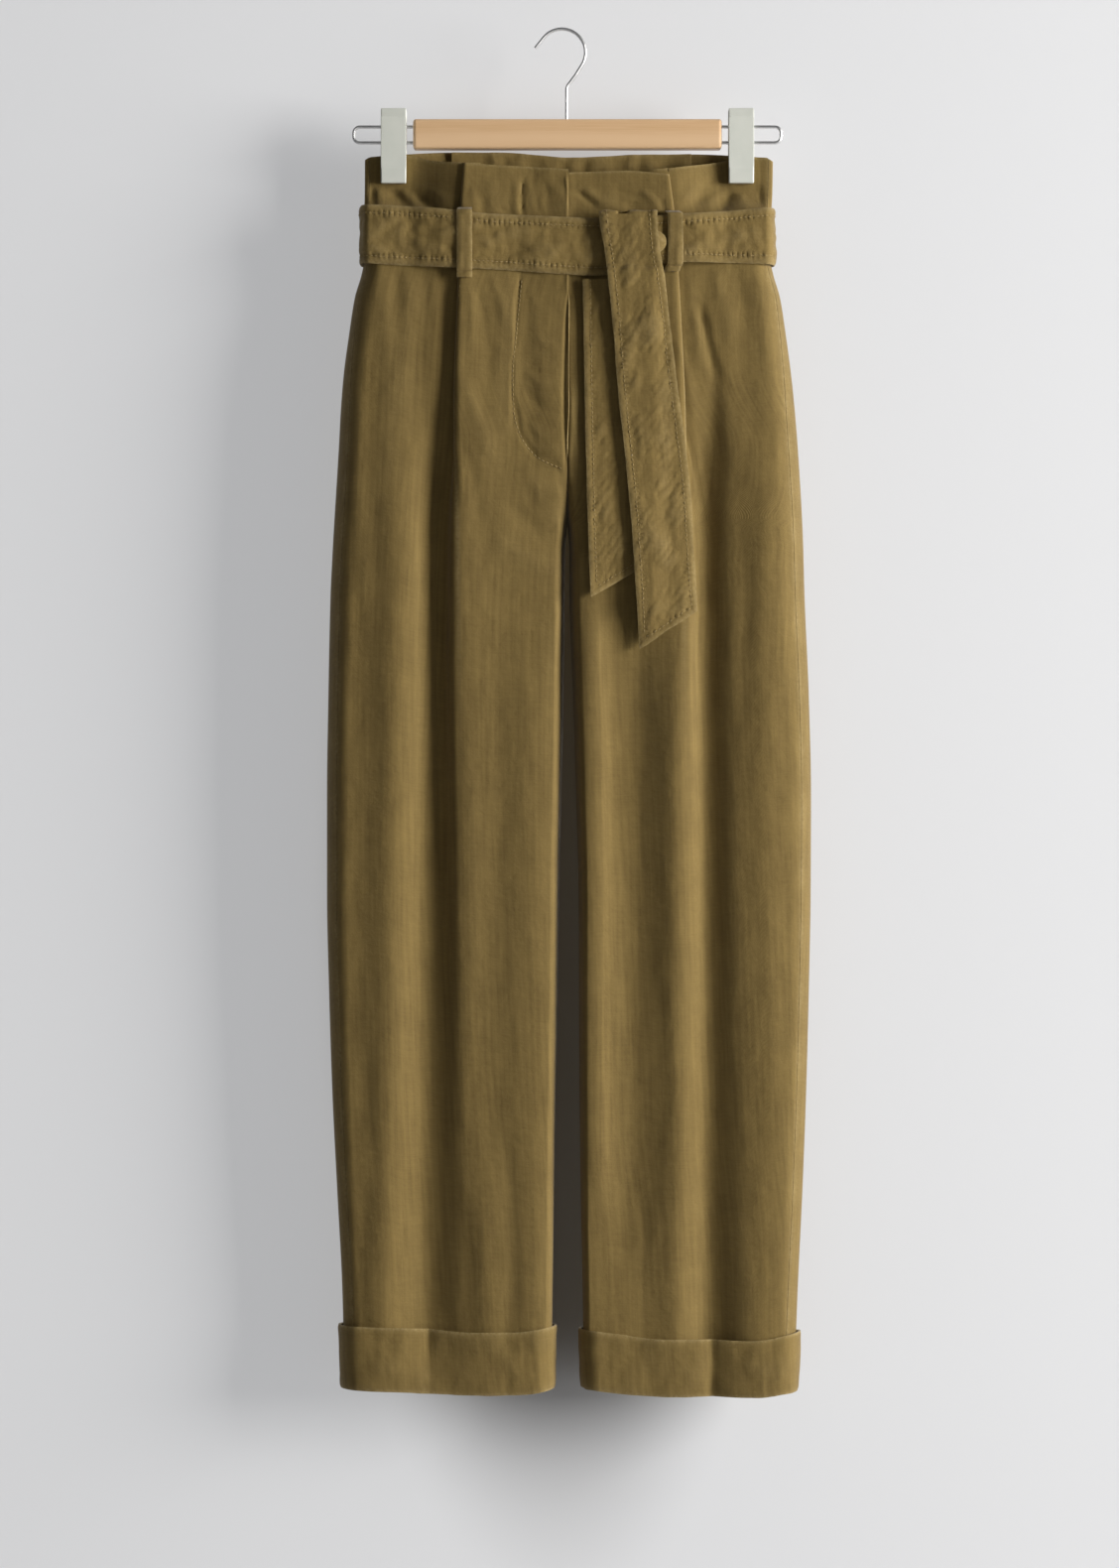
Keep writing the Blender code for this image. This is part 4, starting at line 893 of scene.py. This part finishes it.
def makeCuffs():
    for seed, side in ((41.0, "right"), (47.0, "left")):
        rows, relief, wear = [], [], []
        for k in range(cuffs["rows"]):
            share = k / (cuffs["rows"] - 1)
            x, depth = cuffRing(side, cuffs["first"] + (garment["hem"] - cuffs["first"]) * share)
            top, low = curveThrough(cuffs[side + "Top"], x), curveThrough(cuffs[side + "Low"], x)
            height = top + (low - top) * share
            rows.append(place(x, depth, height))
            toEdge = min(share, 1 - share)
            lean = 0.9 * np.exp(-share / 0.16) + 0.35 * math.sin(math.pi * share)
            level = np.where(depth > 0, height, height + 400)
            soft = waves(x, level, seed, cuffs["waves"])
            relief.append(soft + lean - 0.8 * math.exp(-toEdge / 0.022) + 0.55)
            wear.append(np.full_like(x, 0.75 * math.exp(-toEdge / 0.03)) + 0.1 * soft)
        points = pushedOut(np.array(rows), np.array(relief), 0.0, closed=True)
        makeCloth(
            side + "Cuff", side + "_cuff", "twill", points, cuffs["wall"], np.array(wear), outward=True, closed=True)


stitching = {
    "length": 2.9, "gap": 1.1, "radius": 0.5,
    "fly": ((-38.5, 214), (-43, 260), (-46, 295), (-45, 325), (-38, 348), (-24, 364), (-4.6, 373)),
    "rightPleat": ((-90.6, 218), (-91.6, 235), (-92.2, 252)),
    "leftPleat": ((93.2, 218), (94.0, 235), (95.0, 252), (97.0, 290), (99.0, 325)),
}


def stitchShape():  # one stitch, modelled once and copied along every seam
    bpy.ops.object.select_all(action="DESELECT")
    bpy.ops.mesh.primitive_uv_sphere_add(segments=6, ring_count=4, radius=1)
    ball = bpy.context.active_object
    spots = np.array([v.co for v in ball.data.vertices])
    faces = [list(face.vertices) for face in ball.data.polygons]
    bpy.data.objects.remove(ball)
    return spots, faces


def smoothPath(points, step):  # even steps along the first three columns
    lengths = lengthsAlong(points[:, :3])
    at = np.arange(0.3 * step, lengths[-1], step)
    return np.stack([np.interp(at, lengths, points[:, k]) for k in range(points.shape[1])], axis=-1)


def makeStitches(name, runs):  # runs: lists of points with normals, in metres
    spots, faces = stitchShape()
    radius = stitching["radius"]
    allPoints, allFaces = [], []
    for points, normals in runs:
        path = smoothPath(np.concatenate((points, normals), axis=1), (stitching["length"] + stitching["gap"]) * mm)
        along = np.gradient(path[:, :3], axis=0)
        along = along / np.linalg.norm(along, axis=1, keepdims=True)
        up = path[:, 3:] / np.linalg.norm(path[:, 3:], axis=1, keepdims=True)
        side = np.cross(up, along)
        for k in range(len(path)):
            shape = (
                path[k, :3] + spots[:, [2]] * along[k] * stitching["length"] * 0.5 * mm
                + spots[:, [0]] * side[k] * radius * mm + spots[:, [1]] * up[k] * radius * mm)
            allFaces += [[len(allPoints) + v for v in face] for face in faces]
            allPoints += shape.tolist()
    mesh = bpy.data.meshes.new(name)
    mesh.from_pydata(allPoints, [], allFaces)
    mesh.shade_smooth()
    piece = inScene(name, mesh)
    piece.data.materials.append(finishes["thread"])
    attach(piece, "root")


def skinRun(name, path):  # a run drawn on the front of a piece, given as (x, down) points
    points = grids[name]
    normals = gridNormals(points)
    flatX = points[..., 0] / mm - middleX
    flatDown = -points[..., 2] / mm
    path = np.array(path, float)
    lengths = lengthsAlong(path)
    at = np.linspace(0, lengths[-1], max(4, int(lengths[-1] / 1.5)))
    smooth = np.stack([curveThrough(list(zip(lengths, path[:, k])), at) for k in (0, 1)], axis=-1)
    found, ups = [], []
    for x, down in smooth:
        away = (flatX - x) ** 2 + (flatDown - down) ** 2 + np.where(normals[..., 1] < -0.1, 0, 1e4)
        near = np.argsort(away.ravel())[:6]
        weight = 1 / (away.ravel()[near] + 0.02)
        weight = weight / weight.sum()
        spot = (points.reshape(-1, 3)[near] * weight[:, None]).sum(0)
        spot[0] = (x + middleX) * mm
        spot[2] = -down * mm
        found.append(spot)
        ups.append((normals.reshape(-1, 3)[near] * weight[:, None]).sum(0))
    found = np.array(found)
    for _ in range(2):
        found[1:-1, 1] = (found[:-2, 1] + 2 * found[1:-1, 1] + found[2:, 1]) / 4
    return found, np.array(ups)


def edgeRun(name, inside, along, atEnd):  # a run a set distance inside one edge of a piece
    grid = np.concatenate((grids[name], gridNormals(grids[name])), axis=-1)
    if along == "columns":
        grid = grid.swapaxes(0, 1)
    if atEnd:
        grid = grid[::-1]
    distance = arcAlong(grid[..., :3], 0)
    run = np.array([
        [np.interp(inside * mm, distance[:, c], grid[:, c, k]) for k in range(6)] for c in range(grid.shape[1])])
    return run[:, :3], run[:, 3:]


def onSash(run, ends=0):  # lifted to the sash's outer face, with its ends left out
    points, normals = (part[ends:len(part) - ends] for part in run)
    unit = normals / np.linalg.norm(normals, axis=1, keepdims=True)
    return points + unit * (garment["sashWall"] * mm), normals


def makeAllStitches():
    inside = belt["stitchInside"]
    runs = [onSash(edgeRun("beltWrap", inside, "rows", end)) for end in (False, True)]
    makeStitches("beltStitching", runs)
    runs = []
    for name in ("beltTailFront", "beltTailRear"):
        for end in (False, True):
            points, normals = edgeRun(name, inside, "columns", end)
            runs.append(onSash((points[:-9], normals[:-9])))
        runs.append(onSash(edgeRun(name, inside, "rows", True), ends=5))
    makeStitches("tailStitching", runs)
    runs = [skinRun(name, stitching[path]) for name, path in
            (("rightFront", "fly"), ("rightFront", "rightPleat"), ("leftFront", "leftPleat"))]
    makeStitches("frontStitching", runs)
    makeStitches("facingStitching", [edgeRun("backFacing", facing["stitchBelow"], "rows", False)])


def nodeKit(name):
    material = bpy.data.materials.new(name)
    material.use_nodes = True
    tree = material.node_tree
    shader = next(node for node in tree.nodes if node.type == "BSDF_PRINCIPLED")

    def fill(node, inputs):  # an input takes a number, a colour, or a pair of a node and its output
        for key, value in inputs.items():
            if isinstance(value, tuple) and isinstance(value[0], bpy.types.Node):
                tree.links.new(value[0].outputs[value[1]], node.inputs[key])
            else:
                node.inputs[key].default_value = value

    def add(kind, output, inputs=None, **settings):
        made = tree.nodes.new("ShaderNode" + kind)
        for key, value in settings.items():
            setattr(made, key, value)
        fill(made, inputs or {})
        return made, output

    return material, shader, add, fill


def noiseOf(add, vector, scale, detail, roughness=0.5):
    return add("TexNoise", "Fac", {"Vector": vector, "Scale": scale, "Detail": detail, "Roughness": roughness})


def stretched(add, vector, scale):
    return add("Mapping", "Vector", {"Vector": vector, "Scale": scale})


def colourMix(add, factor, first, second):
    return add("Mix", "Result", {"Factor": factor, "A": first, "B": second}, data_type="RGBA")


def mathOf(add, operation, *values, clamp=False):
    return add("Math", "Value", dict(enumerate(values)), operation=operation, use_clamp=clamp)


def bumpOf(add, height, strength, distance, **under):
    return add("Bump", "Normal", {"Height": height, "Strength": strength, "Distance": distance, **under})


clothLook = {
    "dark": (0.112, 0.072, 0.018), "light": (0.226, 0.154, 0.046), "worn": (0.37, 0.285, 0.135, 1),
    "twillPitch": 0.0011, "slubs": 0.8, "wefts": 0.34, "weave": 0.20, "rub": 1.5,
    "cloudScale": 34.0, "speckScale": 420.0, "handScale": 95.0,
    "threadBump": 0.00022, "roughness": 0.82, "sheen": 0.13,
    "twill": {"brightness": 1.0, "mottle": 0.6, "crumpled": 0.0014},
    "sash": {"brightness": 1.05, "mottle": 0.85, "crumpled": 0.0022},
}


def clothMaterial(name):
    material, shader, add, fill = nodeKit(name)
    look = clothLook[name]
    uv = add("UVMap", "UV", uv_map="cloth")
    where = add("TexCoord", "Object")
    weave = add("TexWave", "Fac", {
        "Vector": uv, "Scale": 2 * math.pi / (10 * clothLook["twillPitch"]), "Distortion": 0.6, "Detail": 1.0,
    }, wave_type="BANDS", bands_direction="DIAGONAL")
    slub = noiseOf(add, stretched(add, uv, (330, 13, 1)), 1.0, 2.0)
    weft = noiseOf(add, stretched(add, uv, (60, 900, 1)), 1.0, 1.0)
    cloud = noiseOf(add, where, clothLook["cloudScale"], 4.0, 0.62)
    speck = noiseOf(add, where, clothLook["speckScale"], 2.0)
    hand = noiseOf(add, where, clothLook["handScale"], 3.0)
    tones = (
        (cloud, look["mottle"]), (slub, clothLook["slubs"]), (weft, clothLook["wefts"]), (weave, clothLook["weave"]))
    tone = 0.5 - sum(share for _, share in tones) / 2
    for source, share in tones:
        tone = mathOf(add, "MULTIPLY_ADD", source, share, tone, clamp=source is weave)
    dark, light = (tuple(c * look["brightness"] for c in clothLook[key]) + (1,) for key in ("dark", "light"))
    rub = mathOf(add, "MULTIPLY_ADD", speck, clothLook["rub"], 0.5 - clothLook["rub"] / 2)
    rubbed = mathOf(add, "MULTIPLY", rub, add("Attribute", "Fac", attribute_name="wear"), clamp=True)
    threads = mathOf(add, "MULTIPLY_ADD", slub, 0.8, weave)
    fuzz = mathOf(add, "MULTIPLY_ADD", speck, 0.7, threads)
    fine = bumpOf(add, fuzz, 0.45, clothLook["threadBump"])
    fill(shader, {
        "Base Color": colourMix(add, rubbed, colourMix(add, tone, dark, light), clothLook["worn"]),
        "Normal": bumpOf(add, hand, 0.5, look["crumpled"], Normal=fine),
        "Roughness": clothLook["roughness"], "Sheen Weight": clothLook["sheen"], "Sheen Roughness": 0.45,
        "Specular IOR Level": 0.25,
    })
    return material


hangerLook = {
    "threadColours": ((0.20, 0.144, 0.056, 1), (0.33, 0.245, 0.11, 1)),
    "pineColours": ((0.70, 0.475, 0.275, 1), (0.56, 0.335, 0.16, 1)),
    "clipColours": ((0.56, 0.58, 0.52, 1), (0.66, 0.67, 0.61, 1)),
    "clipRoughness": (0.36, 0.5),
    "steelColours": ((0.88, 0.88, 0.87, 1), (0.70, 0.70, 0.70, 1)),
    "steelRoughness": (0.24, 0.4),
    "nodes": (("hanger_bar", "pine"), ("hanger_hook", "steel"), ("wire_loop", "steel"), ("clip_", "clip_plastic")),
}


def threadMaterial():
    material, shader, add, fill = nodeKit("thread")
    twist = noiseOf(add, add("TexCoord", "Object"), 700.0, 2.0)
    fill(shader, {
        "Base Color": colourMix(add, twist, *hangerLook["threadColours"]),
        "Roughness": 0.8, "Specular IOR Level": 0.2,
    })
    return material


def pineMaterial():
    material, shader, add, fill = nodeKit("pine")
    where = add("TexCoord", "Object")
    rings = add("TexWave", "Fac", {
        "Vector": stretched(add, where, (1.6, 9, 13)),
        "Scale": 1.0, "Distortion": 3.0, "Detail": 1.0, "Detail Scale": 2.0,
    }, wave_type="BANDS", bands_direction="Z")
    fibre = noiseOf(add, stretched(add, where, (26, 900, 900)), 1.0, 5.0)
    fill(shader, {
        "Base Color": colourMix(add, mathOf(add, "MULTIPLY", rings, fibre), *hangerLook["pineColours"]),
        "Normal": bumpOf(add, fibre, 0.2, 0.0003),
        "Roughness": 0.42, "Coat Weight": 0.15, "Coat Roughness": 0.35,
    })
    return material


def roughnessFrom(add, source, limits):
    return add("MapRange", "Result", {"Value": source, "To Min": limits[0], "To Max": limits[1]})


def clipMaterial():
    material, shader, add, fill = nodeKit("clipPlastic")
    where = add("TexCoord", "Object")
    smudge = noiseOf(add, where, 60.0, 2.0)
    fill(shader, {
        "Base Color": colourMix(add, smudge, *hangerLook["clipColours"]),
        "Roughness": roughnessFrom(add, smudge, hangerLook["clipRoughness"]),
        "Normal": bumpOf(add, noiseOf(add, where, 1500.0, 2.0), 0.15, 0.0001),
    })
    return material


def steelMaterial():
    material, shader, add, fill = nodeKit("steel")
    tarnish = noiseOf(add, add("TexCoord", "Object"), 220.0, 3.0)
    fill(shader, {
        "Base Color": colourMix(add, tarnish, *hangerLook["steelColours"]),
        "Roughness": roughnessFrom(add, tarnish, hangerLook["steelRoughness"]),
        "Metallic": 1.0,
    })
    return material


def finishHanger():  # the hanger's nodes keep their shape and get their real finishes
    for name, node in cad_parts.items():
        for start, look in hangerLook["nodes"]:
            if name.startswith(start):
                node.data.materials.clear()
                node.data.materials.append(finishes[look])
                pickOut(node)
                bpy.ops.object.shade_smooth_by_angle(angle=math.radians(40))


studio = {
    "floorDown": 1330.0, "wallBehind": 0.048, "wallMiddle": -0.9, "wallColour": (0.365, 0.365, 0.37, 1),
    "room": 0.088, "roomColour": (0.97, 0.975, 1.0, 1),
    # the glow entries paint room light onto the wall, fading to painted shade behind the garment
    "paintedWallLight": 0.39, "glowColour": (0.97, 0.98, 1.0, 1), "glowMiddle": -0.72, "glowReach": (0.205, 0.62),
    "glowRange": (0.6, 1.05), "lightsMeet": (0.0, 0.0, -0.62),
    "lights": {  # place, power, size, colour
        "keyLight": ((4.0, -1.72, 0.05), 362.0, (1.8, 2.0), (1.0, 0.985, 0.96)),
        "fillLight": ((-1.2, -3.2, 0.3), 3.0, (2.4, 2.4), (0.95, 0.97, 1.0)),
        "backLight": ((0.6, 2.6, 0.4), 40.0, (2.0, 2.0), (1, 1, 1)),
    },
    "camera": (-0.0012, -4.0, -0.6376), "seen": 1.3272, "sensor": 36,  # seen: the height that fills the picture
}


def paintStage(piece, glowing):
    material, shader, add, fill = nodeKit(piece.name + "Paint")
    fill(shader, {"Base Color": studio["wallColour"], "Roughness": 0.9, "Specular IOR Level": 0.1})
    if glowing:  # painted light: the wall glows as if lit by a pale room; the glow fades to none behind the garment, leaving painted shade round it and between the legs
        wide, tall = studio["glowReach"]
        offset = -(studio["glowMiddle"] - studio["wallMiddle"]) / tall
        mapping = stretched(add, add("TexCoord", "Object"), (1 / wide, 1 / tall, 1))
        fill(mapping[0], {"Location": (0, offset, 0)})
        away = add("VectorMath", "Value", {0: mapping}, operation="LENGTH")
        near, far = studio["glowRange"]
        glow = add("MapRange", "Result", {
            "Value": away, "From Min": near, "From Max": far, "To Max": studio["paintedWallLight"],
        }, interpolation_type="SMOOTHSTEP")
        fill(shader, {"Emission Strength": glow, "Emission Color": studio["glowColour"]})
        sides = add("NewGeometry", "Backfacing")  # seen from behind, the wall is clear
        either = add("MixShader", 0, {0: sides, 1: (shader, 0), 2: add("BsdfTransparent", 0)})
        out = next(node for node in material.node_tree.nodes if node.type == "OUTPUT_MATERIAL")
        fill(out, {"Surface": either})
    piece.data.materials.append(material)


def makeStage():
    bpy.ops.object.select_all(action="DESELECT")
    bpy.ops.mesh.primitive_plane_add(size=12, location=(0, 0, -studio["floorDown"] * mm))
    floor = bpy.context.active_object
    floor.name = "floor"
    bpy.ops.mesh.primitive_plane_add(
        size=7, location=(0, studio["wallBehind"], studio["wallMiddle"]), rotation=(math.pi / 2, 0, 0))
    wall = bpy.context.active_object
    wall.name = "backWall"
    paintStage(floor, glowing=False)
    paintStage(wall, glowing=True)
    wall.visible_shadow = False


def makeLights():
    for name, (start, power, size, colour) in studio["lights"].items():
        light = bpy.data.lights.new(name, "AREA")
        light.shape = "RECTANGLE"
        light.size, light.size_y = size
        light.energy = power
        light.color = colour
        lamp = inScene(name, light)
        lamp.location = start
        along = np.array(studio["lightsMeet"]) - np.array(start)
        lamp.rotation_euler = (
            math.atan2(math.hypot(along[0], along[1]), -along[2]), 0, -math.atan2(along[0], along[1]))
    world = bpy.data.worlds.new("studio")
    bpy.context.scene.world = world
    world.use_nodes = True
    background = world.node_tree.nodes["Background"]
    background.inputs["Color"].default_value = studio["roomColour"]
    background.inputs["Strength"].default_value = studio["room"]


def makeCamera():
    data = bpy.data.cameras.new("camera")
    data.sensor_width = studio["sensor"]
    data.lens = studio["sensor"] * -studio["camera"][1] / studio["seen"]
    camera = inScene("camera", data)
    camera.location = studio["camera"]
    camera.rotation_euler = (math.pi / 2, 0, 0)
    bpy.context.scene.camera = camera


finishes = {
    "twill": clothMaterial("twill"),
    "sash": clothMaterial("sash"),
    "thread": threadMaterial(),
    "pine": pineMaterial(),
    "clip_plastic": clipMaterial(),
    "steel": steelMaterial(),
}
makeCamera()
makeStage()
makeLights()
finishHanger()
print("camera, lights, stage and hanger set")
makePanels()
print("leg panels sewn")
makeFacing()
makeBelt()
makeLoops()
makeKnot()
makeTails()
makeCuffs()
print("belt, loops, tie and cuffs made")
makeAllStitches()
print("topstitching done")

bpy.context.scene.view_settings.view_transform = "Standard"
